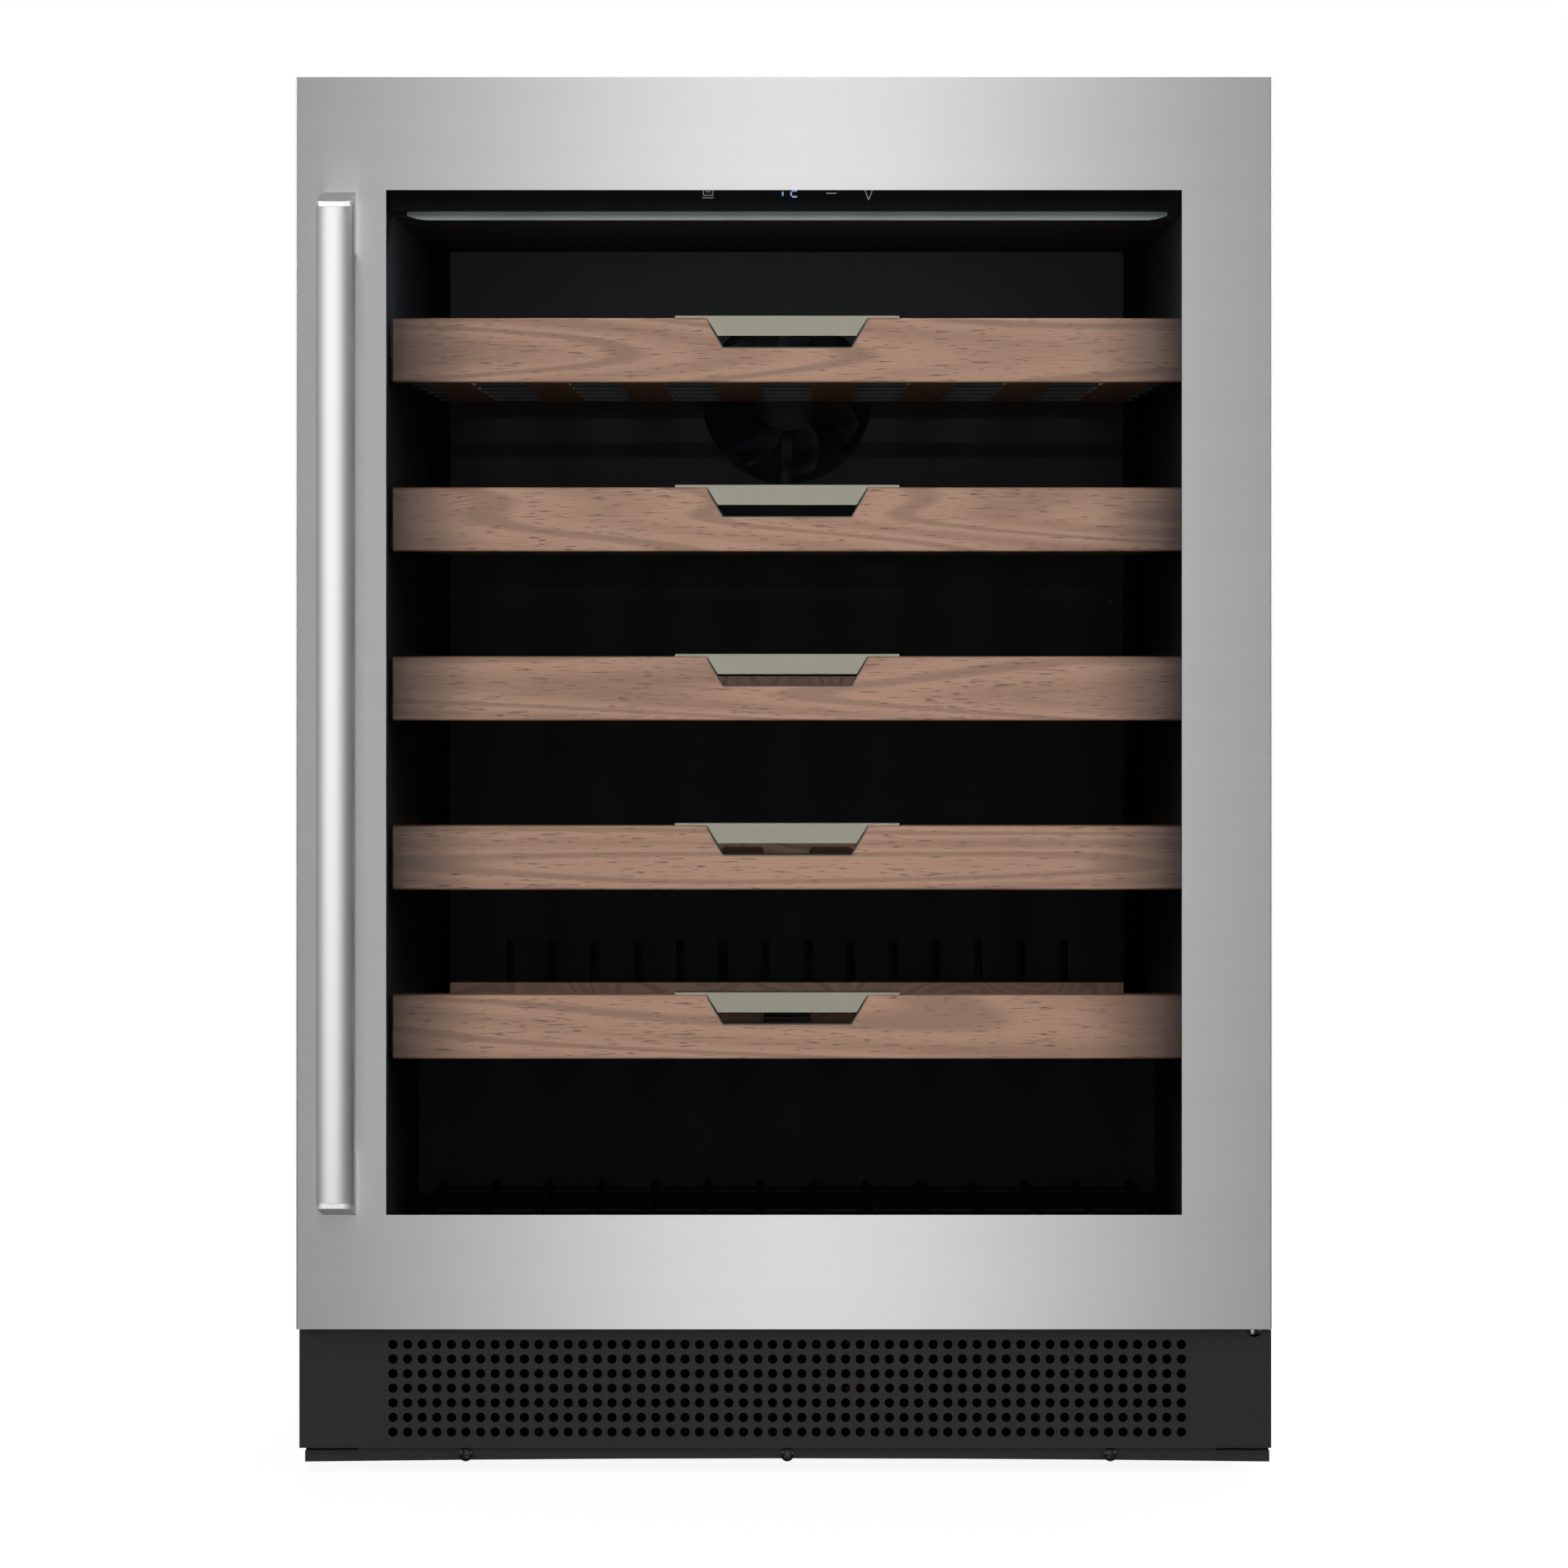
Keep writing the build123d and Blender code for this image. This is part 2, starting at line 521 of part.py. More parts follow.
with BuildPart() as base_strip_screws:
    for x in screw_xs:
        rod((x, strip_front - 2.2, screw_z), ALONG_Y, 2.2, screw_head)
        rod((x, strip_front, screw_z), ALONG_Y, 10, screw_shank)
    for x in screw_xs:
        slab(about(x, 2.2), (strip_front - 3, strip_front - 1.2), about(screw_z, 0.5), Mode.SUBTRACT)
        slab(about(x, 0.5), (strip_front - 3, strip_front - 1.2), about(screw_z, 2.2), Mode.SUBTRACT)
base_strip_screws.part.label = "base_strip_screws"
export_step(base_strip_screws.part, "parts/base_strip_screws.step")

for side, x in (("left", cab_mid - leg_x), ("right", cab_mid + leg_x)):
    for end, y in (("front", leg_ys[0]), ("rear", leg_ys[1])):
        name = f"leg_{end}_{side}"
        with BuildPart() as leg:
            rod((x, y, 0), ALONG_Z, pad_thick, pad_radius)
            chamfer(leg.edges().group_by(Axis.Z)[-1], pad_bevel)
            rod((x, y, pad_thick), ALONG_Z, leg_top - pad_thick, stud_leg)
        leg.part.label = name
        export_step(leg.part, f"parts/{name}.step")

# ================= hinge =================

with BuildPart() as hinge_brackets:
    # upper: a plate on the cabinet's top, with an arm over the door and a pin down into it
    upper_z = (arm_low, arm_low + arm_thick)
    slab(plate_x, (cab_front + 1, plate_back), upper_z)
    slab(about(hinge_x, arm_half), (hinge_y, cab_front + 1), upper_z)
    rod((hinge_x, hinge_y, arm_low), ALONG_Z, arm_thick, arm_half)
    rod((hinge_x, hinge_y, upper_pin_low), ALONG_Z, upper_pin_long, pin_radius)
    # lower: an arm under the door, bolted to the side wall, with a pin up
    lower_z = (lower_arm, lower_arm + arm_thick)
    behind_sheet = cab_front + sheet + gap
    slab((lower_plate_left, cab_right - sheet), (behind_sheet, lower_plate_back), lower_z)
    slab(about(hinge_x, arm_half), (hinge_y, behind_sheet), lower_z)
    rod((hinge_x, hinge_y, lower_arm), ALONG_Z, arm_thick, arm_half)
    rod((hinge_x, hinge_y, lower_arm), ALONG_Z, lower_pin_long, pin_radius)
    side_x = (cab_right - sheet - arm_thick, cab_right - sheet)
    slab(side_x, (behind_sheet, lower_plate_back), (side_plate_low, lower_arm))
hinge_brackets.part.label = "hinge_brackets"
export_step(hinge_brackets.part, "parts/hinge_brackets.step")

# ================= door =================

door_x = (-door_half, door_half)
core_x = (-door_half + skin + gap, door_half - skin - gap)
core_z = (door_bottom + cap_height + gap, door_top - cap_height - gap)
cap_y = (door_front + skin + gap, return_back)
pocket_x, pocket_y = (pocket_left, door_half + 1), (pocket_front, door_back + 1)
pocket_z = (pocket_floor, door_top + 1)
stud_zs = (handle_low + post_tall / 2, handle_high - post_tall / 2)

with BuildPart() as door_skin:
    slab(door_x, (door_front, door_front + skin), (door_bottom, door_top))
    for x in ((-door_half, -door_half + skin), (door_half - skin, door_half)):
        slab(x, (door_front + skin, return_back), (door_bottom, door_top))
    upright = door_skin.edges().filter_by(Axis.Z).group_by(Axis.Y)[0]
    fillet(upright, upright_round)
    slab(about(0, window_half), (-290, -270), (window_low, window_high), mode=Mode.SUBTRACT)
    slab(pocket_x, pocket_y, pocket_z, mode=Mode.SUBTRACT)
    for z in stud_zs:
        rod((handle_x, -285, z), ALONG_Y, 10, stud_radius + gap, mode=Mode.SUBTRACT)
door_skin.part.label = "door_skin"
export_step(door_skin.part, "parts/door_skin.step")

with BuildPart() as door_end_caps:
    slab(core_x, cap_y, (door_bottom + gap, door_bottom + cap_height))
    slab(core_x, cap_y, (door_top - cap_height, door_top - gap))
    slab(pocket_x, pocket_y, pocket_z, mode=Mode.SUBTRACT)
    rod((hinge_x, hinge_y, 0), ALONG_Z, 900, bush_radius + gap, mode=Mode.SUBTRACT)
door_end_caps.part.label = "door_end_caps"
export_step(door_end_caps.part, "parts/door_end_caps.step")

with BuildPart() as hinge_bushings:
    rod((hinge_x, hinge_y, door_bottom), ALONG_Z, cap_height, bush_radius)
    rod((hinge_x, hinge_y, collar_low), ALONG_Z, door_bottom - collar_low, collar_radius)
    rod((hinge_x, hinge_y, door_top - cap_height), ALONG_Z, cap_height - bush_short, bush_radius)
    rod((hinge_x, hinge_y, 0), ALONG_Z, 900, bush_bore, mode=Mode.SUBTRACT)
hinge_bushings.part.label = "hinge_bushings"
export_step(hinge_bushings.part, "parts/hinge_bushings.step")

with BuildPart() as outer_glass:
    slab(about(0, pane_half), (outer_pane_y, outer_pane_y + pane_thick), (pane_low, pane_high))
outer_glass.part.label = "outer_glass"
export_step(outer_glass.part, "parts/outer_glass.step")

with BuildPart() as inner_glass:
    slab(about(0, pane_half), (inner_pane_y, inner_pane_y + pane_thick), (pane_low, pane_high))
inner_glass.part.label = "inner_glass"
export_step(inner_glass.part, "parts/inner_glass.step")

with BuildPart() as glazing_spacer:
    ring(
        about(0, pane_half),
        (outer_pane_y + pane_thick, inner_pane_y),
        (pane_low, pane_high),
        about(0, pane_half - spacer_wide),
        (pane_low + spacer_wide, pane_high - spacer_wide),
    )
glazing_spacer.part.label = "glazing_spacer"
export_step(glazing_spacer.part, "parts/glazing_spacer.step")

with BuildPart() as door_foam:
    ring(
        core_x,
        (door_front + skin + gap, inner_frame_y - gap),
        core_z,
        about(0, pane_half + gap),
        (pane_low - gap, pane_high + gap),
    )
    for z in stud_zs:
        rod((handle_x, -285, z), ALONG_Y, 16, stud_radius + gap, mode=Mode.SUBTRACT)
door_foam.part.label = "door_foam"
export_step(door_foam.part, "parts/door_foam.step")

with BuildPart() as door_inner_frame:
    ring(core_x, (inner_frame_y, return_back), core_z, about(0, view_half), (view_low, view_high))
    ring(
        door_x,
        (return_back, door_back),
        (door_bottom, door_top - gap),
        about(0, view_half),
        (view_low, view_high),
    )
    slab(pocket_x, pocket_y, pocket_z, mode=Mode.SUBTRACT)
    inner_edges = door_inner_frame.faces().sort_by(Axis.Y)[-1].inner_wires()[0].edges()
    chamfer(inner_edges, 3)
door_inner_frame.part.label = "door_inner_frame"
export_step(door_inner_frame.part, "parts/door_inner_frame.step")

with BuildPart() as door_gasket:
    ring(
        about(0, gasket_half),
        (door_back, cab_front - 0.4),
        (gasket_low, gasket_high),
        about(0, gasket_half - gasket_wide),
        (gasket_low + gasket_wide, gasket_high - gasket_wide),
    )
door_gasket.part.label = "door_gasket"
export_step(door_gasket.part, "parts/door_gasket.step")


def handle_end(y):
    """How far the handle's sloping ends have come in at this Y."""
    return (door_front - y) * end_slope


with BuildPart() as handle_bar:
    with BuildSketch(Plane.YZ.offset(handle_x - handle_half)):
        with BuildLine():
            front_in = handle_end(handle_front) + cap_thick + gap
            back_in = handle_end(handle_back) + cap_thick + gap
            Polyline(
                (handle_front, handle_low + front_in),
                (handle_back, handle_low + back_in),
                (handle_back, handle_high - back_in),
                (handle_front, handle_high - front_in),
                close=True,
            )
        make_face()
    extrude(amount=2 * handle_half)
    with BuildSketch(Plane.XY.offset(handle_low)):
        with BuildLine():
            left, right = about(handle_x, handle_half)
            ThreePointArc(
                (left, handle_shoulder), (handle_x, handle_front), (right, handle_shoulder)
            )
            Polyline(
                (right, handle_shoulder),
                (right, handle_back),
                (left, handle_back),
                (left, handle_shoulder),
            )
        make_face()
    extrude(amount=handle_high - handle_low, mode=Mode.INTERSECT)
    fillet(handle_bar.edges().filter_by(Axis.Z).group_by(Axis.Y)[0], bar_front_round)
    fillet(handle_bar.edges().filter_by(Axis.Z).group_by(Axis.Y)[-1], bar_back_round)
handle_bar.part.label = "handle_bar"
export_step(handle_bar.part, "parts/handle_bar.step")

with BuildPart() as handle_brackets:
    for end, inward in ((handle_low, 1), (handle_high, -1)):
        cap_front = handle_front + cap_inset
        cap_front_z = end + inward * handle_end(cap_front)
        back_z = end + inward * handle_end(handle_back)
        with BuildSketch(Plane.YZ.offset(handle_x - handle_half + cap_inset)):
            with BuildLine():
                Polyline(
                    (door_front, end),
                    (cap_front, cap_front_z),
                    (cap_front, cap_front_z + inward * cap_thick),
                    (handle_back, back_z + inward * cap_thick),
                    (handle_back, back_z + inward * (post_tall + 1)),
                    (door_front, end + inward * post_tall),
                    close=True,
                )
            make_face()
        extrude(amount=2 * (handle_half - cap_inset))
        stud_z = end + inward * post_tall / 2
        rod((handle_x, door_front, stud_z), ALONG_Y, stud_length, stud_radius)
    cap_corners = handle_brackets.edges().filter_by(Axis.Z).group_by(Axis.Y)[0]
    fillet(cap_corners, cap_round)
handle_brackets.part.label = "handle_brackets"
export_step(handle_brackets.part, "parts/handle_brackets.step")

# ================= shelves =================

board_y = (board_front, board_front + board_thick)
joint = 0.05  # between pieces of a shelf that are screwed together
strip_ys = [slat_front + 15 + k * strip_pitch for k in range(strip_count)]
runner_gap = rail_thick + rail_play
for k, top in enumerate(shelf_tops, start=1):
    low = top - board_tall
    with BuildPart() as shelf_front:
        slab(about(cab_mid, board_half), board_y, (low, top))
        fillet(shelf_front.edges().filter_by(Axis.X), 1.5)
        with BuildSketch(Plane.XZ.offset(-board_y[1] - 1)):
            with BuildLine():
                Polyline(
                    (cab_mid - notch_top_half, top + 1),
                    (cab_mid - notch_low_half, top - notch_deep),
                    (cab_mid + notch_low_half, top - notch_deep),
                    (cab_mid + notch_top_half, top + 1),
                    close=True,
                )
            make_face()
        extrude(amount=board_thick + 2, mode=Mode.SUBTRACT)
    shelf_front.part.label = f"shelf_front_{k}"
    export_step(shelf_front.part, f"parts/shelf_front_{k}.step")

    with BuildPart() as shelf_trim:
        drop_half = notch_top_half - trim_play
        slab(about(cab_mid, trim_half), (board_front, board_front + 14), (top, top + trim_thick))
        with BuildSketch(Plane.XZ.offset(-board_front - trim_thick)):
            with BuildLine():
                Polyline(
                    (cab_mid - drop_half, top + trim_thick / 2),
                    (cab_mid - trim_low_half, top - trim_drop),
                    (cab_mid + trim_low_half, top - trim_drop),
                    (cab_mid + drop_half, top + trim_thick / 2),
                    close=True,
                )
            make_face()
        extrude(amount=trim_thick)
    shelf_trim.part.label = f"shelf_trim_{k}"
    export_step(shelf_trim.part, f"parts/shelf_trim_{k}.step")

    slat_low = low + slat_lift
    with BuildPart() as shelf_slats:
        for n in range(slat_count):
            x = cab_mid + (n - (slat_count - 1) / 2) * slat_pitch
            slab(about(x, slat_wide / 2), (slat_front, slat_back), (slat_low, slat_low + slat_thick))
        chamfer(shelf_slats.edges().filter_by(Axis.Y).group_by(Axis.Z)[-1], 2)
        rear_y = (slat_back + joint, slat_back + rear_bar_thick)
        slab(about(cab_mid, board_half - rear_bar_in), rear_y, (slat_low, slat_low + rear_bar_tall))
        for y in strip_ys:
            slab(
                about(cab_mid, liner_half),
                about(y, strip_wide / 2 + gap),
                (slat_low - 1, slat_low + strip_thick + gap),
                mode=Mode.SUBTRACT,
            )
    shelf_slats.part.label = f"shelf_slats_{k}"
    export_step(shelf_slats.part, f"parts/shelf_slats_{k}.step")

    with BuildPart() as shelf_frame:
        runner_in = runner_gap + runner_thick
        runner_y = (slat_front, slat_back + 6)
        for x in (
            (liner_left + runner_gap, liner_left + runner_in),
            (liner_right - runner_in, liner_right - runner_gap),
        ):
            slab(x, runner_y, (slat_low, slat_low + runner_tall))
        for y in strip_ys:
            slab(
                (liner_left + runner_in + joint, liner_right - runner_in - joint),
                about(y, strip_wide / 2),
                (slat_low, slat_low + strip_thick),
            )
    shelf_frame.part.label = f"shelf_frame_{k}"
    export_step(shelf_frame.part, f"parts/shelf_frame_{k}.step")
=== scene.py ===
# %% [markdown]
# # A built-in wine cooler
# The object is a foamed steel cabinet with a glazed door, five pull-out shelves with walnut fronts,
# and the cooling machine behind a pierced plinth. Its CAD model is the fixed frame of this scene.
# Each cell below either finishes a CAD piece with the material that the real one is made of, or adds
# a piece whose shape CAD left plain: the door seal, the fans, the compressor, louvres, screws and lamp.

# %% Load the frame
import json
from math import atan, cos, pi, radians, sin

import bmesh
import bpy
from mathutils import Matrix, Vector


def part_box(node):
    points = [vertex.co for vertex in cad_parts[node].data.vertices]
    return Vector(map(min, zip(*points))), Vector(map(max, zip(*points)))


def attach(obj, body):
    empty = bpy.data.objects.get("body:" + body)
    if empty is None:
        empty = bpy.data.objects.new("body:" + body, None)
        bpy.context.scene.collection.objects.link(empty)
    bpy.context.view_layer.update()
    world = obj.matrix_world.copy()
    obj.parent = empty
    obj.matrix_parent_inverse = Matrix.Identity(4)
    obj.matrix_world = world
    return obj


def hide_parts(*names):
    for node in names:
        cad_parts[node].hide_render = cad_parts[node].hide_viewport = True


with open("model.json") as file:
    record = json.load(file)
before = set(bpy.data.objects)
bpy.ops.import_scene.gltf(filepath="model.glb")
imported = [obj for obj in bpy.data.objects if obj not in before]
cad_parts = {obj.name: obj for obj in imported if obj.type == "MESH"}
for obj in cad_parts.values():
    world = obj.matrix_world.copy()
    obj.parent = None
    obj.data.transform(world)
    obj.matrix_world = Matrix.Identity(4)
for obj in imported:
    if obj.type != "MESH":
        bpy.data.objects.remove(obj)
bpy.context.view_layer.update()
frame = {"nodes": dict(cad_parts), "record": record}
nodes = frame["nodes"]
MM = 0.001

# %% [markdown]
# Many positions come from the CAD pieces' own boxes. A small class keeps a box's two corners, so
# that a later cell can say `door.front` or `lens.top` and stay right if the design changes.


# %% Places, read from the frame
class Place:
    """The box of a CAD node: left and right in X, front and back in Y, low and top in Z."""

    def __init__(self, node):
        low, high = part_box(node)
        (self.left, self.front, self.low), (self.right, self.back, self.top) = low, high
        self.mid = (Vector(low) + Vector(high)) / 2


door, panel = Place("door_skin"), Place("touch_panel")
lens, seal = Place("led_lens"), Place("door_gasket")
print("door", [round(v / MM) for v in (door.left, door.right, door.low, door.top)], "mm")

# %% [markdown]
# A material here is a small tree of nodes. One function adds a node with its settings and its
# inputs, whatever kind it is, and one turns the sRGB colours that a person picks into the linear
# values that the renderer works in. Real surfaces are never quite even, so each finish lays a faint
# pattern on its colour, its roughness and its relief.


# %% Helpers for materials
def linear(code):
    """An sRGB hex colour as linear RGBA."""
    parts = [int(code[k : k + 2], 16) / 255 for k in (1, 3, 5)]
    return [p / 12.92 if p <= 0.04045 else ((p + 0.055) / 1.055) ** 2.4 for p in parts] + [1.0]


def add(tree, kind, inputs=None, **settings):
    """Adds a node, sets its properties, and fills its inputs with values or links."""
    made = tree.nodes.new(kind)
    for name, value in settings.items():
        setattr(made, name, value)
    for name, value in (inputs or {}).items():
        if isinstance(value, bpy.types.NodeSocket):
            tree.links.new(value, made.inputs[name])
        else:
            made.inputs[name].default_value = value
    return made


def new_material(name, **values):
    """A material with its Principled shader's own sockets set; returns material, tree, shader."""
    made = bpy.data.materials.new(name)
    made.use_nodes = True
    shader = made.node_tree.nodes["Principled BSDF"]
    for socket, value in values.items():
        shader.inputs[socket.replace("_", " ")].default_value = value
    return made, made.node_tree, shader


def place_on(tree, scale):
    """Coordinates fixed to the piece, in metres, stretched by a scale for each axis."""
    where = add(tree, "ShaderNodeTexCoord").outputs["Object"]
    return add(tree, "ShaderNodeMapping", {"Vector": where, "Scale": scale}).outputs["Vector"]


def speckle(tree, scale=(1, 1, 1), per_metre=1.0, detail=2.0, roughness=0.5):
    """A noise pattern laid on the piece's own coordinates."""
    inputs = {
        "Vector": place_on(tree, scale),
        "Scale": per_metre,
        "Detail": detail,
        "Roughness": roughness,
    }
    return add(tree, "ShaderNodeTexNoise", inputs).outputs["Fac"]


noise_range = {"From Min": 0.25, "From Max": 0.75}  # nearly all of a noise's values lie in it


def lay(tree, shader, colour=None, roughness=None, relief=None):
    """Lays patterns on a shader.

    colour is (pattern, dark, light), roughness is (pattern, low, high), and relief is
    (pattern, full height in mm, strength).
    """
    if colour:
        pattern, dark, light = colour
        inputs = {"Factor": pattern, "A": linear(dark), "B": linear(light)}
        mixed = add(tree, "ShaderNodeMix", inputs, data_type="RGBA")
        tree.links.new(mixed.outputs["Result"], shader.inputs["Base Color"])
    if roughness:
        pattern, low, high = roughness
        inputs = {"Value": pattern, **noise_range, "To Min": low, "To Max": high}
        ranged = add(tree, "ShaderNodeMapRange", inputs)
        tree.links.new(ranged.outputs["Result"], shader.inputs["Roughness"])
    if relief:
        pattern, height_mm, strength = relief
        inputs = {"Height": pattern, "Distance": height_mm * MM, "Strength": strength}
        raised = add(tree, "ShaderNodeBump", inputs)
        tree.links.new(raised.outputs["Normal"], shader.inputs["Normal"])


# %% [markdown]
# ## Stainless steel
# The door's skin and the handle are 304 stainless steel with a No. 4 brushed finish: an abrasive
# belt leaves fine scratches, all in one direction, about a tenth of a millimetre apart. Light spreads
# across the scratches and stays narrow along them, so a lamp in front of the door is drawn out into
# an upright band. An anisotropic metal with a tangent gives that, which a round highlight can't.
# The tangent, across the scratches, is the cross product of the face's normal and the belt's direction.
# The scratches are drawn about 0.7 mm apart, because real ones are too fine to show from here.


# %% Brushed stainless steel
def brushed_steel(name, along, tone, roughness, anisotropy):
    """Brushed 304 stainless: scratches run along "X" or "Z"."""
    made, tree, shader = new_material(name, Metallic=1.0, Anisotropic=anisotropy)

    def drawn(lengthwise, across):
        return (lengthwise, across, across) if along == "X" else (across, across, lengthwise)

    # Counts in a metre: scratches 250 mm long and 0.7 mm apart, and clouds 17 mm wide.
    streaks = speckle(tree, drawn(4.0, 1400.0), detail=3.0)
    clouds = speckle(tree, drawn(1.2, 60.0), detail=1.0)
    mixed = add(tree, "ShaderNodeMath", {0: streaks, 1: clouds}, operation="ADD").outputs[0]
    half = add(tree, "ShaderNodeMath", {0: mixed, 1: 0.5}, operation="MULTIPLY").outputs[0]
    lay(tree, shader, (half, *tone), (streaks, *roughness), (streaks, 0.004, 0.08))
    # A trace of Y keeps the cross product alive on the faces that the belt meets end on.
    belt = (1.0, 0.001, 0.0) if along == "X" else (0.0, 0.001, 1.0)
    facing = add(tree, "ShaderNodeNewGeometry").outputs["Normal"]
    across = add(tree, "ShaderNodeVectorMath", {0: facing, 1: belt}, operation="CROSS_PRODUCT")
    tree.links.new(across.outputs["Vector"], shader.inputs["Tangent"])
    return made


stainless_door = brushed_steel("stainless_no4_door", "X", ("#D4D4D4", "#DDDDDD"), (0.357, 0.372), 0.75)
stainless_handle = brushed_steel("stainless_no4_handle", "Z", ("#D8D8D8", "#E6E6E6"), (0.46, 0.51), 0.6)
print("brushed steels: 2")

# %% [markdown]
# ## The other metals
# The cabinet's sides are steel sheet with a satin black powder coat, which flows out to a faint
# orange peel, about 2 mm from bump to bump. The plinth has a coarser, drier one. The back and the
# rear cover are hot-dip galvanised: zinc freezes in flat crystals, the spangle, 6 to 12 mm across,
# each a slightly different grey. The hinge and most screws are bright zinc plate, the shelf rails
# and wire frames are epoxy coated, and the hidden machine parts are painted matt black.


# %% Painted, galvanised and plated steel
def powder_coat(name, tones, roughness, peel_mm, depth_mm):
    """Powder-coated steel with an orange peel of a given size."""
    made, tree, shader = new_material(name, IOR=1.5)
    peel = speckle(tree, per_metre=1 / (peel_mm * MM))
    broad = speckle(tree, per_metre=9.0)
    lay(tree, shader, (broad, *tones), (peel, *roughness), (peel, depth_mm, 0.5))
    return made


def galvanised(name):
    """Hot-dip galvanised sheet, with flat spangles and a faint bloom in its relief."""
    made, tree, shader = new_material(name, Metallic=0.9)
    spangle_mm = 9.0
    inputs = {"Vector": place_on(tree, (1, 1, 1)), "Scale": 1 / (spangle_mm * MM), "Randomness": 1.0}
    cells = add(tree, "ShaderNodeTexVoronoi", inputs).outputs["Color"]
    grey = add(tree, "ShaderNodeSeparateColor", {"Color": cells}).outputs["Red"]
    bloom = speckle(tree, per_metre=300.0)
    lay(tree, shader, (grey, "#B4B8BA", "#BDC1C3"), (grey, 0.42, 0.45), (bloom, 0.02, 0.3))
    return made


def plated(name, tones, roughness):
    """Bright plated or drawn metal, with faint handling marks."""
    made, tree, shader = new_material(name, Metallic=1.0)
    marks = speckle(tree, per_metre=120.0, detail=4.0)
    lay(tree, shader, (marks, *tones), (marks, *roughness), (marks, 0.01, 0.2))
    return made


cabinet_coat = powder_coat("powder_coated_steel_black", ("#202123", "#27282A"), (0.32, 0.42), 2.0, 0.02)
plinth_coat = powder_coat("powder_coated_plinth", ("#282828", "#2F2F2F"), (0.45, 0.58), 0.9, 0.02)
wire_coat = powder_coat("epoxy_coated_wire", ("#1B1C1D", "#232425"), (0.35, 0.45), 1.5, 0.02)
pot_enamel = powder_coat("compressor_enamel", ("#111214", "#191A1C"), (0.22, 0.32), 3.0, 0.03)
matt_black = powder_coat("matt_black_machine_paint", ("#0A0A0B", "#0F0F10"), (0.70, 0.85), 1.2, 0.02)
galvanised_sheet = galvanised("galvanised_sheet")
zinc_plate = plated("zinc_plated_steel", ("#AEB1B3", "#C9CBCC"), (0.22, 0.34))
fin_aluminium = plated("rolled_aluminium_fin", ("#B8BBBD", "#D2D4D5"), (0.30, 0.42))
copper = plated("drawn_copper_tube", ("#A8623F", "#C9815A"), (0.25, 0.40))
print("materials so far:", len(bpy.data.materials))

# %% [markdown]
# ## Anodised aluminium
# The grip on each shelf is folded from aluminium sheet, bead-blasted and anodised in a pale
# champagne. Blasting leaves a satin with a grain of about 0.3 mm, and the dye takes a little warmth
# out of the grey. The glazing spacer is the same metal in black.


# %% Anodised aluminium
def anodised(name, tones, roughness):
    """Bead-blasted, dyed and sealed aluminium."""
    made, tree, shader = new_material(name, Metallic=0.85)
    grit_mm = 0.3
    grit = speckle(tree, per_metre=1 / (grit_mm * MM))
    lay(tree, shader, (grit, *tones), (grit, *roughness), (grit, 0.01, 0.4))
    return made


champagne = anodised("anodised_aluminium_champagne", ("#BDBAA9", "#CAC7B7"), (0.42, 0.52))
black_anodised = anodised("anodised_aluminium_black", ("#101011", "#18181A"), (0.40, 0.50))
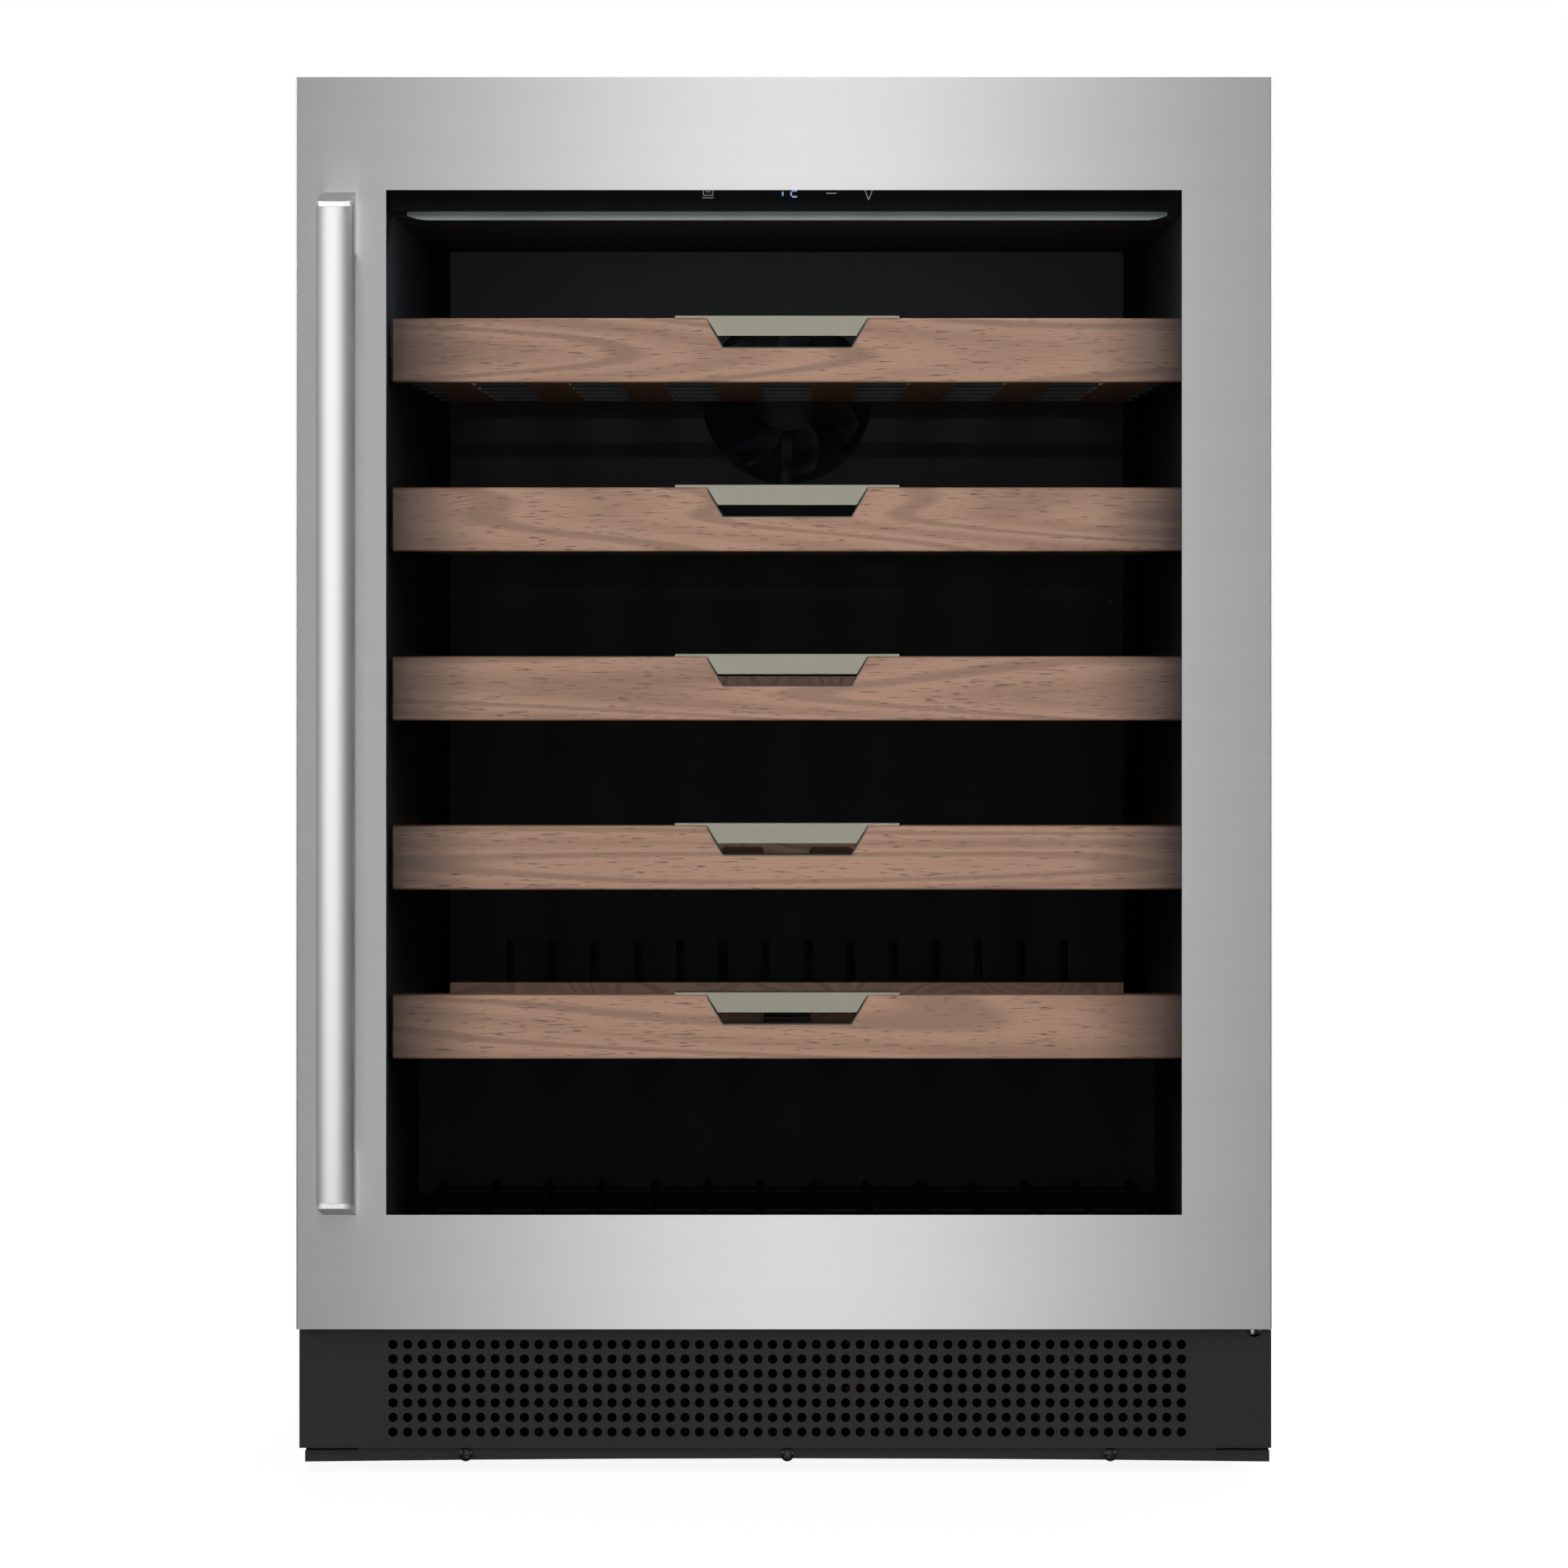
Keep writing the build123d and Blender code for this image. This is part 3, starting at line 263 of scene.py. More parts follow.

# %% [markdown]
# ## Walnut
# The shelf fronts are planed American walnut with a matt oil: pinkish brown, with a fine fibre,
# short dark pores 5 to 20 mm long, and now and then the pointed arches of a flat-sawn board. Growth
# rings are surfaces inside the log, so the arches are drawn as contour lines of a smooth field that
# is stretched along the board. A ring ends in dark late wood, which is a thin line on each contour.
# The fibre and the pores are the same trick at a finer scale. Over the last few centimetres towards
# each end of a front the colour is darkened: painted shade, standing in for the door frame's shade.


# %% Walnut
def walnut(name, along, dark, light, pore, ends=None):
    """Planed and oiled walnut with its grain along "X" or "Y", and painted shade darkening its ends if
    they are given.
    """
    made, tree, shader = new_material(name, IOR=1.45)

    def stretched(lengthwise, across):
        return (lengthwise, across, across) if along == "X" else (across, lengthwise, across)

    # Counts in a metre, along the grain and across it: the fibre is 40 mm by 1.1 mm, and a pore is
    # 11 mm by 0.7 mm. The real ones are finer, and too fine to show.
    field = speckle(tree, stretched(0.8, 10.0), detail=1.5)
    fibre = speckle(tree, stretched(25.0, 900.0), detail=4.0, roughness=0.6)
    tone = speckle(tree, stretched(3.0, 30.0))
    dashes = speckle(tree, stretched(90.0, 1500.0), detail=1.0)
    rings_per_unit = 2 * pi * 13
    turned = add(tree, "ShaderNodeMath", {0: field, 1: rings_per_unit}, operation="MULTIPLY")
    wave = add(tree, "ShaderNodeMath", {0: turned.outputs[0]}, operation="SINE").outputs[0]
    inputs = {"Value": wave, "From Min": -1.0, "From Max": 1.0}
    rings = add(tree, "ShaderNodeMapRange", inputs).outputs["Result"]
    figure = 0.0
    for pattern, weight in ((rings, 0.4), (fibre, 0.55), (tone, 0.5)):
        inputs = {0: pattern, 1: weight, 2: figure}
        figure = add(tree, "ShaderNodeMath", inputs, operation="MULTIPLY_ADD").outputs[0]
    inputs = {"Value": figure, **noise_range, "To Min": 0.0, "To Max": 0.6}
    grain = add(tree, "ShaderNodeMapRange", inputs).outputs["Result"]
    inputs = {"Factor": grain, "A": linear(dark), "B": linear(light)}
    body = add(tree, "ShaderNodeMix", inputs, data_type="RGBA").outputs["Result"]
    inputs = {"Value": dashes, "From Min": 0.62, "From Max": 0.74}
    pores = add(tree, "ShaderNodeMapRange", inputs).outputs["Result"]
    inputs = {"Value": wave, "From Min": 0.72, "From Max": 1.0, "To Max": 0.42}
    late_wood = add(tree, "ShaderNodeMapRange", inputs, interpolation_type="SMOOTHSTEP").outputs["Result"]
    lines = add(tree, "ShaderNodeMath", {0: pores, 1: late_wood}, operation="MAXIMUM").outputs[0]
    inputs = {"Factor": lines, "A": body, "B": linear(pore)}
    colour = add(tree, "ShaderNodeMix", inputs, data_type="RGBA").outputs["Result"]
    # Painted shade: towards both ends of the board the colour is multiplied darker, standing in for the
    # shade that the door's frame casts there.
    if ends:
        middle_x, plain_half, board_half = ends
        at = add(tree, "ShaderNodeSeparateXYZ", {0: add(tree, "ShaderNodeTexCoord").outputs["Object"]})
        off = add(tree, "ShaderNodeMath", {0: at.outputs["X"], 1: middle_x}, operation="SUBTRACT")
        off = add(tree, "ShaderNodeMath", {0: off.outputs[0]}, operation="ABSOLUTE").outputs[0]
        inputs = {"Value": off, "From Min": plain_half, "From Max": board_half, "To Max": 0.82}
        end_shade_mask = add(tree, "ShaderNodeMapRange", inputs, interpolation_type="SMOOTHSTEP").outputs["Result"]
        inputs = {"Factor": end_shade_mask, "A": colour, "B": linear("#2A1D15")}
        end_shade_mix = add(tree, "ShaderNodeMix", inputs, data_type="RGBA", blend_type="MULTIPLY")
        colour = end_shade_mix.outputs["Result"]
    tree.links.new(colour, shader.inputs["Base Color"])
    lay(tree, shader, roughness=(fibre, 0.46, 0.62), relief=(fibre, 0.05, 0.35))
    return made


first_board = Place("shelf_front_1")
# The span over which painted shade darkens the ends of each front.
board_ends = (first_board.mid.x, 0.180, first_board.right - first_board.mid.x)
walnut_front = walnut("oiled_walnut_front", "X", "#9C745D", "#E4B699", "#72523E", board_ends)
walnut_slat = walnut("oiled_walnut_slat", "Y", "#8A6853", "#C09A80", "#5E4333")

# %% [markdown]
# ## Plastics, rubber and glass
# The liner is vacuum-formed black ABS with a fine leather grain that hides scuffs. The fans, feet
# and inlet are moulded nylon or polypropylene, smoother and a little glossier. The seal is soft
# black TPE. The door's two panes are grey-tinted float glass with a low-emission coat: they let
# about half of the light through and mirror very little, so a pane is a thin dark film with a soft
# gloss rather than a refracting block.


# %% Plastics, rubber and glass
def moulded(name, tones, roughness, grain_mm, depth_mm):
    """Moulded or vacuum-formed plastic with a grained surface."""
    made, tree, shader = new_material(name, IOR=1.54)
    grain = speckle(tree, per_metre=1 / (grain_mm * MM))
    broad = speckle(tree, per_metre=14.0)
    lay(tree, shader, (broad, *tones), (grain, *roughness), (grain, depth_mm, 0.5))
    return made


def tinted_glass(name, colour, share, gloss):
    """Float glass as a thin film: a share of the light meets the tint, the rest goes through."""
    made, tree, shader = new_material(name, IOR=1.5, Alpha=share, Specular_IOR_Level=gloss)
    ripple = speckle(tree, per_metre=6.0)
    lay(tree, shader, (ripple, *colour), (ripple, 0.03, 0.05))
    return made


abs_liner = moulded("vacuum_formed_abs_liner", ("#272C31", "#2D3238"), (0.50, 0.65), 1.2, 0.04)
duct_abs = moulded("moulded_abs_duct_cover", ("#343437", "#3A3A3D"), (0.50, 0.62), 1.2, 0.04)
door_abs = moulded("moulded_abs_door_frame", ("#131416", "#191A1C"), (0.38, 0.50), 1.0, 0.03)
fan_nylon = moulded("glass_filled_nylon_fan", ("#3B4045", "#474C51"), (0.40, 0.55), 0.8, 0.02)
foot_plastic = moulded("polypropylene_foot", ("#1A1A1B", "#222223"), (0.45, 0.60), 1.0, 0.03)
bush_nylon = moulded("natural_nylon_bush", ("#D8D6CC", "#E4E2D9"), (0.40, 0.50), 0.8, 0.02)
inlet_plastic = moulded("moulded_inlet_socket", ("#151516", "#1C1C1D"), (0.35, 0.45), 0.8, 0.02)
seal_tpe = moulded("extruded_tpe_seal", ("#17181A", "#1E2022"), (0.55, 0.70), 0.6, 0.02)
foam_pur = moulded("polyurethane_foam", ("#D9C88F", "#E6D8A6"), (0.80, 0.95), 1.5, 0.3)
panel_acrylic = moulded("black_acrylic_panel", ("#4E5358", "#565B60"), (0.10, 0.16), 5.0, 0.002)
glass_outer = tinted_glass("grey_float_glass_outer", ("#020303", "#040505"), 0.10, 0.10)
glass_inner = tinted_glass("grey_float_glass_inner", ("#020303", "#040505"), 0.06, 0.04)

# %% [markdown]
# ## Light sources on the object
# The lamp is a strip of small diodes behind an extruded, frosted polycarbonate lens. The frosting
# hides the single diodes and leaves a cool white line that fades at the ends. The display's digits
# are lit from behind in blue-white, and the key signs more faintly in pale grey.


# %% Lamp, display and print
def glowing(name, colour, strength, tint="#B8C2C4", fade=None):
    """Frosted plastic lit from behind; `fade` is a low and a high Z between which it grows dimmer."""
    made, tree, shader = new_material(name, IOR=1.58, Roughness=0.45)
    shader.inputs["Emission Color"].default_value = linear(colour)
    uneven = speckle(tree, per_metre=16.0)
    inputs = {"Value": uneven, **noise_range, "To Min": strength * 0.85, "To Max": strength}
    glow = add(tree, "ShaderNodeMapRange", inputs).outputs["Result"]
    if fade:
        at = add(tree, "ShaderNodeSeparateXYZ", {0: add(tree, "ShaderNodeTexCoord").outputs["Object"]})
        inputs = {"Value": at.outputs["Z"], "From Min": fade[0], "From Max": fade[1]}
        inputs |= {"To Min": 1.0, "To Max": 0.25}
        dimmer = add(tree, "ShaderNodeMapRange", inputs, interpolation_type="SMOOTHSTEP")
        inputs = {0: glow, 1: dimmer.outputs["Result"]}
        glow = add(tree, "ShaderNodeMath", inputs, operation="MULTIPLY").outputs[0]
    tree.links.new(glow, shader.inputs["Emission Strength"])
    lay(tree, shader, (uneven, tint, colour))
    return made


lens_fade = (lens.low, lens.low + 3.5 * MM)
lamp_lens = glowing("frosted_polycarbonate_lens", "#DCEBEA", 0.34, tint="#6C7476", fade=lens_fade)
display_blue = glowing("led_digit_blue_white", "#9FB4F2", 1.1, tint="#6070A0")
key_print = glowing("backlit_key_signs", "#C8CCD0", 0.50, tint="#9A9C9E")
print("lit materials: 3")

# %% [markdown]
# ## Finishing the CAD pieces
# A CAD piece keeps its shape and takes a material by name. One table pairs each finish with its
# pieces, so a reader can see at a glance what the real object is made of.


# %% Materials on the CAD pieces
def coat(material, *names):
    """Puts one material on whole CAD pieces."""
    for name in names:
        data = nodes[name].data
        data.materials.clear()
        data.materials.append(material)


shelves = range(1, 6)
legs = [f"leg_{end}_{side}" for end in ("front", "rear") for side in ("left", "right")]
coat(stainless_door, "door_skin")
coat(stainless_handle, "handle_bar", "handle_brackets")
coat(cabinet_coat, "outer_shell")
coat(matt_black, "base_pan", "machine_divider", "condenser_fan_shroud", "condenser_coil")
coat(plinth_coat, "kick_grille", "base_strip")
coat(wire_coat, "floor_rack", "shelf_rails", *[f"shelf_frame_{k}" for k in shelves])
coat(galvanised_sheet, "back_panel", "rear_cover")
coat(zinc_plate, "hinge_brackets")
coat(champagne, *[f"shelf_trim_{k}" for k in shelves])
coat(black_anodised, "glazing_spacer")
coat(walnut_front, *[f"shelf_front_{k}" for k in shelves])
coat(walnut_slat, *[f"shelf_slats_{k}" for k in shelves])
coat(abs_liner, "inner_liner", "control_housing")
coat(duct_abs, "duct_cover")
coat(door_abs, "door_inner_frame", "door_end_caps")
coat(foam_pur, "foam_insulation", "door_foam")
coat(glass_outer, "outer_glass")
coat(glass_inner, "inner_glass")
coat(seal_tpe, "door_gasket")
coat(panel_acrylic, "touch_panel")
coat(lamp_lens, "led_lens")
coat(fin_aluminium, "evaporator_coil")
coat(copper, "refrigerant_pipes")
coat(pot_enamel, "compressor", "base_strip_screws")
coat(fan_nylon, "circulation_fan_rotor", "condenser_fan_rotor")
coat(inlet_plastic, "power_inlet")
coat(bush_nylon, "hinge_bushings")
coat(foot_plastic, *legs)
print("materials:", len(bpy.data.materials))

# %% [markdown]
# ## Tools for the added pieces
# One function turns a bmesh into a named piece with its finish, its CAD body and its material slot.


# %% From a bmesh to a piece
def finish_piece(name, mesh, material, body, replaced=(), smooth=40):
    """Turns a bmesh into a piece that rides on a CAD body."""
    bmesh.ops.recalc_face_normals(mesh, faces=mesh.faces)
    data = bpy.data.meshes.new(name)
    mesh.to_mesh(data)
    mesh.free()
    data.materials.append(material)
    made = bpy.data.objects.new(name, data)
    bpy.context.scene.collection.objects.link(made)
    data.shade_smooth()
    data.set_sharp_from_angle(angle=radians(smooth))
    if replaced:
        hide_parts(*replaced)
    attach(made, body)
    return made


# %% [markdown]
# Most pieces below are rings of points skinned into a tube, two skins with a wall round them, a
# profile turned about an axis, or a small closed block. Each form is one function that fills a bmesh.


# %% Forms
def join_loops(mesh, loops, closed=True):
    """Skins a list of loops of vertices, each with the same number of points."""
    count = len(loops[0])
    pairs = list(zip(loops, loops[1:] + loops[:1])) if closed else list(zip(loops, loops[1:]))
    for one, other in pairs:
        for k in range(count):
            n = (k + 1) % count
            mesh.faces.new((one[k], one[n], other[n], other[k]))


def close_ends(mesh, loops):
    """Skins loops from the first to the last, and closes both ends."""
    join_loops(mesh, loops, closed=False)
    mesh.faces.new(loops[0])
    mesh.faces.new(loops[-1])


def join_skins(mesh, skins):
    """Faces two grids of vertices, one behind the other, and closes the wall round their edges."""
    rows, columns = len(skins[0]) - 1, len(skins[0][0]) - 1
    for grid in skins:
        for j in range(rows):
            for i in range(columns):
                mesh.faces.new((grid[j][i], grid[j][i + 1], grid[j + 1][i + 1], grid[j + 1][i]))
    rims = [
        [grid[0][i] for i in range(columns + 1)]
        + [grid[j][columns] for j in range(1, rows + 1)]
        + [grid[rows][i] for i in range(columns - 1, -1, -1)]
        + [grid[j][0] for j in range(rows - 1, 0, -1)]
        for grid in skins
    ]
    join_loops(mesh, rims, closed=False)


def round_loop(mesh, place, radii, height, start=0.0):
    """A loop of points in mm about a placement's Z axis, with a radius for each point."""
    points = []
    for k, radius in enumerate(radii):
        angle = 2 * pi * (k + start) / len(radii)
        at = Vector((radius * cos(angle), radius * sin(angle), height)) * MM
        points.append(mesh.verts.new(place @ at))
    return points


def turn(mesh, profile, centre, axis="Y", steps=48):
    """Turns a profile of (radius, height) points in mm about an axis through a centre in metres."""
    spin = {"Y": Matrix.Rotation(-pi / 2, 4, "X"), "Z": Matrix.Identity(4)}[axis]
    place = Matrix.Translation(centre) @ spin
    close_ends(mesh, [round_loop(mesh, place, [radius] * steps, height) for radius, height in profile])


def block(mesh, x, y, z, round_mm=0.0, segments=2):
    """A box between two X, two Y and two Z values in metres, with rounded edges."""
    corners = [mesh.verts.new((a, b, c)) for a in x for b in y for c in z]
    sides = ((0, 1, 3, 2), (4, 6, 7, 5), (0, 4, 5, 1), (2, 3, 7, 6), (0, 2, 6, 4), (1, 5, 7, 3))
    faces = [mesh.faces.new([corners[k] for k in side]) for side in sides]
    if round_mm:
        edges = list({edge for face in faces for edge in face.edges})
        bmesh.ops.bevel(
            mesh, geom=edges, offset=round_mm * MM, segments=segments, profile=0.5, affect="EDGES"
        )


# %% [markdown]
# ## The door seal
# The seal is a soft extrusion with a dart that snaps into the door, a bellows that lets it stretch,
# and a flat pocket with a magnet strip that pulls it against the cabinet. Its four lengths are cut at
# 45 degrees and welded, so the same section is carried round four mitred corners.

# %% Door seal
seal_section = (
    (1.0, 0.0), (19.0, 0.0), (19.2, 0.8), (16.8, 1.4), (16.6, 1.9), (18.8, 2.6), (19.2, 3.2),
    (19.2, 5.0), (18.6, 5.5), (6.4, 5.5), (5.6, 5.0), (5.4, 3.0), (4.4, 2.0), (3.0, 2.2),
    (0.9, 4.6), (0.3, 4.3), (1.6, 1.6),
)  # fmt: skip
mesh = bmesh.new()
corner_loops = []
for side_x, side_z in ((-1, -1), (1, -1), (1, 1), (-1, 1)):
    edge_x = seal.left if side_x < 0 else seal.right
    edge_z = seal.low if side_z < 0 else seal.top
    loop = []
    for inward, deep in seal_section:
        x, z = edge_x - side_x * inward * MM, edge_z - side_z * inward * MM
        loop.append(mesh.verts.new((x, seal.front + deep * MM, z)))
    corner_loops.append(loop)
join_loops(mesh, corner_loops)
finish_piece("door_seal", mesh, seal_tpe, "door", ("door_gasket",))
print("seal section:", len(seal_section), "points")

# %% [markdown]
# ## The two fans
# An axial fan's rotor is one moulding: a cup that hides the motor's bell, and blades that are twisted,
# because the root moves slower than the tip and needs a steeper pitch. Each blade is a small grid of
# points: along the span the chord, pitch and sweep change, and across the chord it is cambered. The
# grid gets its wall from two skins 1.4 mm apart.


# %% Fan rotors
def blade_point(span, chord, hub, tip, shape):
    """A point of a blade's middle surface in mm: radius, angle and height along the axis."""
    radius = hub - 1.5 + span * (tip - hub + 1.5)
    pitch = radians(shape["root_pitch"] + span * (shape["tip_pitch"] - shape["root_pitch"]))
    width = shape["root_chord"] + span * (shape["tip_chord"] - shape["root_chord"])
    round_off = 1 - 0.25 * max(0.0, span - 0.75) * 4 * abs(chord)
    across = chord * width / 2 * round_off
    angle = across * cos(pitch) / radius + shape["sweep"] * span * span
    height = across * sin(pitch) - shape["camber"] * (1 - chord * chord)
    return radius, angle, height


def fan_rotor(name, hub, tip, shaft, blades, shape):
    """A moulded rotor with a domed cup, twisted blades and a shaft to the back; sizes in mm."""
    mesh = bmesh.new()
    centre, half = fan_centres[f"{name}_spin"], rotor_depth / 2
    cup = [
        (0.5, -half), (hub * 0.55, -half + 0.3), (hub * 0.85, -half + 1.4), (hub * 0.97, -half + 3.2),
        (hub, -half + 6), (hub, half), (hub - 1.6, half), (hub - 1.6, half - 3), (1.5, half - 3),
        (1.5, half + shaft), (0.4, half + shaft),
    ]  # fmt: skip
    turn(mesh, cup, centre)
    along, across, wall = 10, 8, 0.7
    for blade in range(blades):
        start = 2 * pi * blade / blades
        skins = []
        for side in (-wall, wall):
            skin = []
            for i in range(along + 1):
                row = []
                for j in range(across + 1):
                    radius, angle, height = blade_point(i / along, 2 * j / across - 1, hub, tip, shape)
                    angle += start
                    thin = side * (1 - 0.6 * abs(2 * j / across - 1) ** 3)
                    at = Vector((radius * sin(angle), height + thin, radius * cos(angle))) * MM
                    row.append(mesh.verts.new(Vector(centre) + at))
                skin.append(row)
            skins.append(skin)
        join_skins(mesh, skins)
    return finish_piece(name, mesh, fan_nylon, name, (f"{name}_rotor",), smooth=35)


rotor_depth = 18
fan_centres = {}
for joint in frame["record"]["behaviour"]["joints"]:
    if joint["name"].endswith("_fan_spin"):
        fan_centres[joint["name"]] = Vector(joint["pos_m"])
inner_shape = {
    "root_pitch": 44, "tip_pitch": 27, "root_chord": 20, "tip_chord": 27, "sweep": 0.25, "camber": 1.6,
}  # fmt: skip
outer_shape = dict(inner_shape, root_chord=21, tip_chord=36, sweep=0.35, tip_pitch=24)
fan_rotor("circulation_fan", hub=23, tip=53.5, shaft=12, blades=7, shape=inner_shape)
fan_rotor("condenser_fan", hub=22, tip=59.5, shaft=14, blades=5, shape=outer_shape)
print("fans turn at", [tuple(round(c, 3) for c in v) for v in fan_centres.values()])

# %% [markdown]
# ## The lamp's lens
# The lens is a long lozenge with pointed ends, set in the roof of the cabinet in front of the first
# shelf. Its underside is crowned so that the light spreads. Stations along its length each get a flat
# top and an elliptical belly, and both shrink towards the points.

# %% Lamp lens
mesh = bmesh.new()
stations, belly = 40, 10
point_long = 9 * MM
thin_wide, thin_deep = 0.16, 0.35  # what is left of the width and the depth at a point
lens_loops = []
for k in range(stations + 1):
    share = k / stations
    share = 0.5 - 0.5 * cos(pi * share)
    x = lens.left + share * (lens.right - lens.left)
    from_end = min(x - lens.left, lens.right - x)
    swell = min(1.0, thin_wide + (1 - thin_wide) * from_end / point_long)
    half_wide = (lens.back - lens.front) / 2 * swell
    deep = (lens.top - lens.low) * (thin_deep + (1 - thin_deep) * swell)
    ring = [mesh.verts.new((x, lens.mid.y + side * half_wide, lens.top)) for side in (-1, 1)]
    for n in range(1, belly):
        angle = pi * n / belly
        ring.append(mesh.verts.new((x, lens.mid.y + half_wide * cos(angle), lens.top - deep * sin(angle))))
    lens_loops.append(ring)
close_ends(mesh, lens_loops)
finish_piece("lamp_lens", mesh, lamp_lens, "cabinet", ("led_lens",))
print("lens", round((lens.right - lens.left) / MM), "mm long")

# %% [markdown]
# ## The touch panel's signs
# The panel is a strip of black acrylic with its signs printed on the back and a small display behind.
# The door's frame covers its upper half. From the left: the lamp key, the display with two digits, a
# minus and a downward arrow. Each sign is a few thin bars 0.1 mm proud of the panel.


# %% Panel signs
def bars(name, middle_x, base_z, lines, thick, material):
    """Draws straight strokes in mm from a sign's own lower middle point."""
    mesh = bmesh.new()
    y = panel.front - 0.1 * MM
    for x1, z1, x2, z2 in lines:
        start = Vector((middle_x + x1, 0, base_z + z1)) * MM
        end = Vector((middle_x + x2, 0, base_z + z2)) * MM
        side = (end - start).normalized().cross(Vector((0, 1, 0))) * thick / 2 * MM
        points = [start - side, end - side, end + side, start + side]
        face = mesh.faces.new([mesh.verts.new((p.x, y, p.z)) for p in points])
        grown = bmesh.ops.extrude_face_region(mesh, geom=[face])["geom"]
        verts = [item for item in grown if isinstance(item, bmesh.types.BMVert)]
        bmesh.ops.translate(mesh, verts=verts, vec=(0, 0.08 * MM, 0))
    return finish_piece(name, mesh, material, "cabinet", smooth=20)


sign_low = 793.5
digit_wide, digit_tall = 4.2, 7.6
segments = {
    "a": (0, 1, 1, 1), "b": (1, 1, 1, 0.5), "c": (1, 0.5, 1, 0), "d": (0, 0, 1, 0),
    "e": (0, 0, 0, 0.5), "f": (0, 0.5, 0, 1), "g": (0, 0.5, 1, 0.5),
}  # fmt: skip


def digit(lit, left):
    """The strokes of a seven-segment digit, each a little short of the corners."""
    strokes = []
    for name in lit:
        x1, z1, x2, z2 = segments[name]
        trim_x, trim_z = (0.12, 0) if z1 == z2 else (0, 0.08)
        x1, x2 = (x1 + trim_x, x2 - trim_x) if x1 != x2 else (x1, x2)
        if z1 != z2:
            downward = 1 if z1 > z2 else -1
            z1, z2 = z1 - downward * trim_z, z2 + downward * trim_z
        strokes.append((left + x1 * digit_wide, z1 * digit_tall, left + x2 * digit_wide, z2 * digit_tall))
    return strokes


digits = digit("bc", -8) + digit("abged", 1.5)
bars("display_digits", 3, sign_low + 3.3, digits, 1.0, display_blue)
lamp_sign = [(-3, 1, 3, 1), (-3, 1, -3, 7), (3, 1, 3, 7), (-3, 7, 3, 7), (-1, 3.2, 1, 3.2), (-1, 5, 1, 5)]
lamp_sign += [(-1, 3.2, -1, 5), (1, 3.2, 1, 5), (-3.6, -0.6, 3.6, -0.6)]
bars("lamp_key_sign", -48, sign_low + 3.2, lamp_sign, 0.45, key_print)
bars("minus_sign", 30, sign_low + 5.5, [(-3.2, 0, 3.2, 0)], 0.6, key_print)
arrow = [(-2.6, 7, 0, 0.4), (0, 0.4, 2.6, 7), (-2.6, 7, -1.2, 7), (1.2, 7, 2.6, 7)]
bars("down_sign", 53.5, sign_low + 1, arrow, 0.5, key_print)
print("signs on the panel at Z", sign_low, "mm")

# %% [markdown]
# ## The lining of each grip
# The grip's sheet is folded over the board's top edge, and a second fold lines the cut-out below it,
# which shows as a thin pale line along the slanted ends and the bottom. It is a ribbon 0.7 mm thick
# that follows the cut-out's three edges.

# %% Cut-out linings
lining_thick, top_half, low_half, deep = 0.7, 51.5, 41.0, 19.0
for k in shelves:
    board = Place(f"shelf_front_{k}")
    mesh = bmesh.new()
    mid_x, top_z = board.mid.x, board.top
    outer = [(-top_half, -1.0), (-low_half, -deep), (low_half, -deep), (top_half, -1.0)]
    inner = [(-top_half + lining_thick, -1.0), (-low_half + lining_thick * 0.7, -deep + lining_thick)]
    inner += [(-x, z) for x, z in reversed(inner)]
    loops = []
    for y in (board.front - 0.25 * MM, board.back + 0.25 * MM):
        points = outer + inner[::-1]
        loops.append([mesh.verts.new((mid_x + x * MM, y, top_z + z * MM)) for x, z in points])
    close_ends(mesh, loops)
    finish_piece(f"grip_lining_{k}", mesh, champagne, f"shelf_{k}")
print("linings on", len(shelves), "shelves")

# %% [markdown]
# ## Screws
# The sheet metal is held by pan-head screws with a cross recess. A head is a turned dome, and the
# recess is cut as a cross of two short, tapered grooves: the middle of the dome is a small grid whose
# cross-shaped cells are pushed in.


# %% Screw heads
def screw(mesh, at, facing, radius, tall):
    """A pan head with a cross recess; `facing` is the direction that it is driven from."""
    place = Matrix.Translation(at) @ Vector(facing).to_track_quat("Z", "Y").to_matrix().to_4x4()
    steps, rings = 16, ((1.0, 0.0), (1.0, 0.35), (0.93, 0.68), (0.75, 0.92), (0.55, 1.0))
    loops = []
    for wide, high in rings:
        loops.append(round_loop(mesh, place, [radius * wide] * steps, tall * high, start=0.5))
    join_loops(mesh, loops, closed=False)
    arm, slot_half, floor_z = radius * 0.5, radius * 0.11, tall * 0.25
    cross = []
    for quarter in range(4):
        turn_by = Matrix.Rotation(quarter * pi / 2, 4, "Z")
        for x, y in ((arm, -slot_half), (arm, slot_half), (slot_half, slot_half)):
            cross.append((turn_by, x, y))
    rim = [mesh.verts.new(place @ (m @ Vector((x, y, tall)) * MM)) for m, x, y in cross]
    pit = [mesh.verts.new(place @ (m @ Vector((x * 0.72, y * 0.72, floor_z)) * MM)) for m, x, y in cross]
    join_loops(mesh, [rim, pit], closed=False)
    mesh.faces.new(pit)
    edge = loops[-1]
    rim_edges = [mesh.edges.get((a, b)) for a, b in zip(rim, rim[1:] + rim[:1])]
    edge_edges = [mesh.edges.get((a, b)) for a, b in zip(edge, edge[1:] + edge[:1])]
    bmesh.ops.triangle_fill(mesh, use_beauty=True, edges=rim_edges + edge_edges)
    mesh.faces.new(loops[0][::-1])


def screws(name, places, facing, radius, tall, material, body="cabinet", replaced=()):
    """A set of like screws as one piece."""
    mesh = bmesh.new()
    for at in places:
        screw(mesh, at, facing, radius, tall)
    return finish_piece(name, mesh, material, body, replaced, smooth=35)


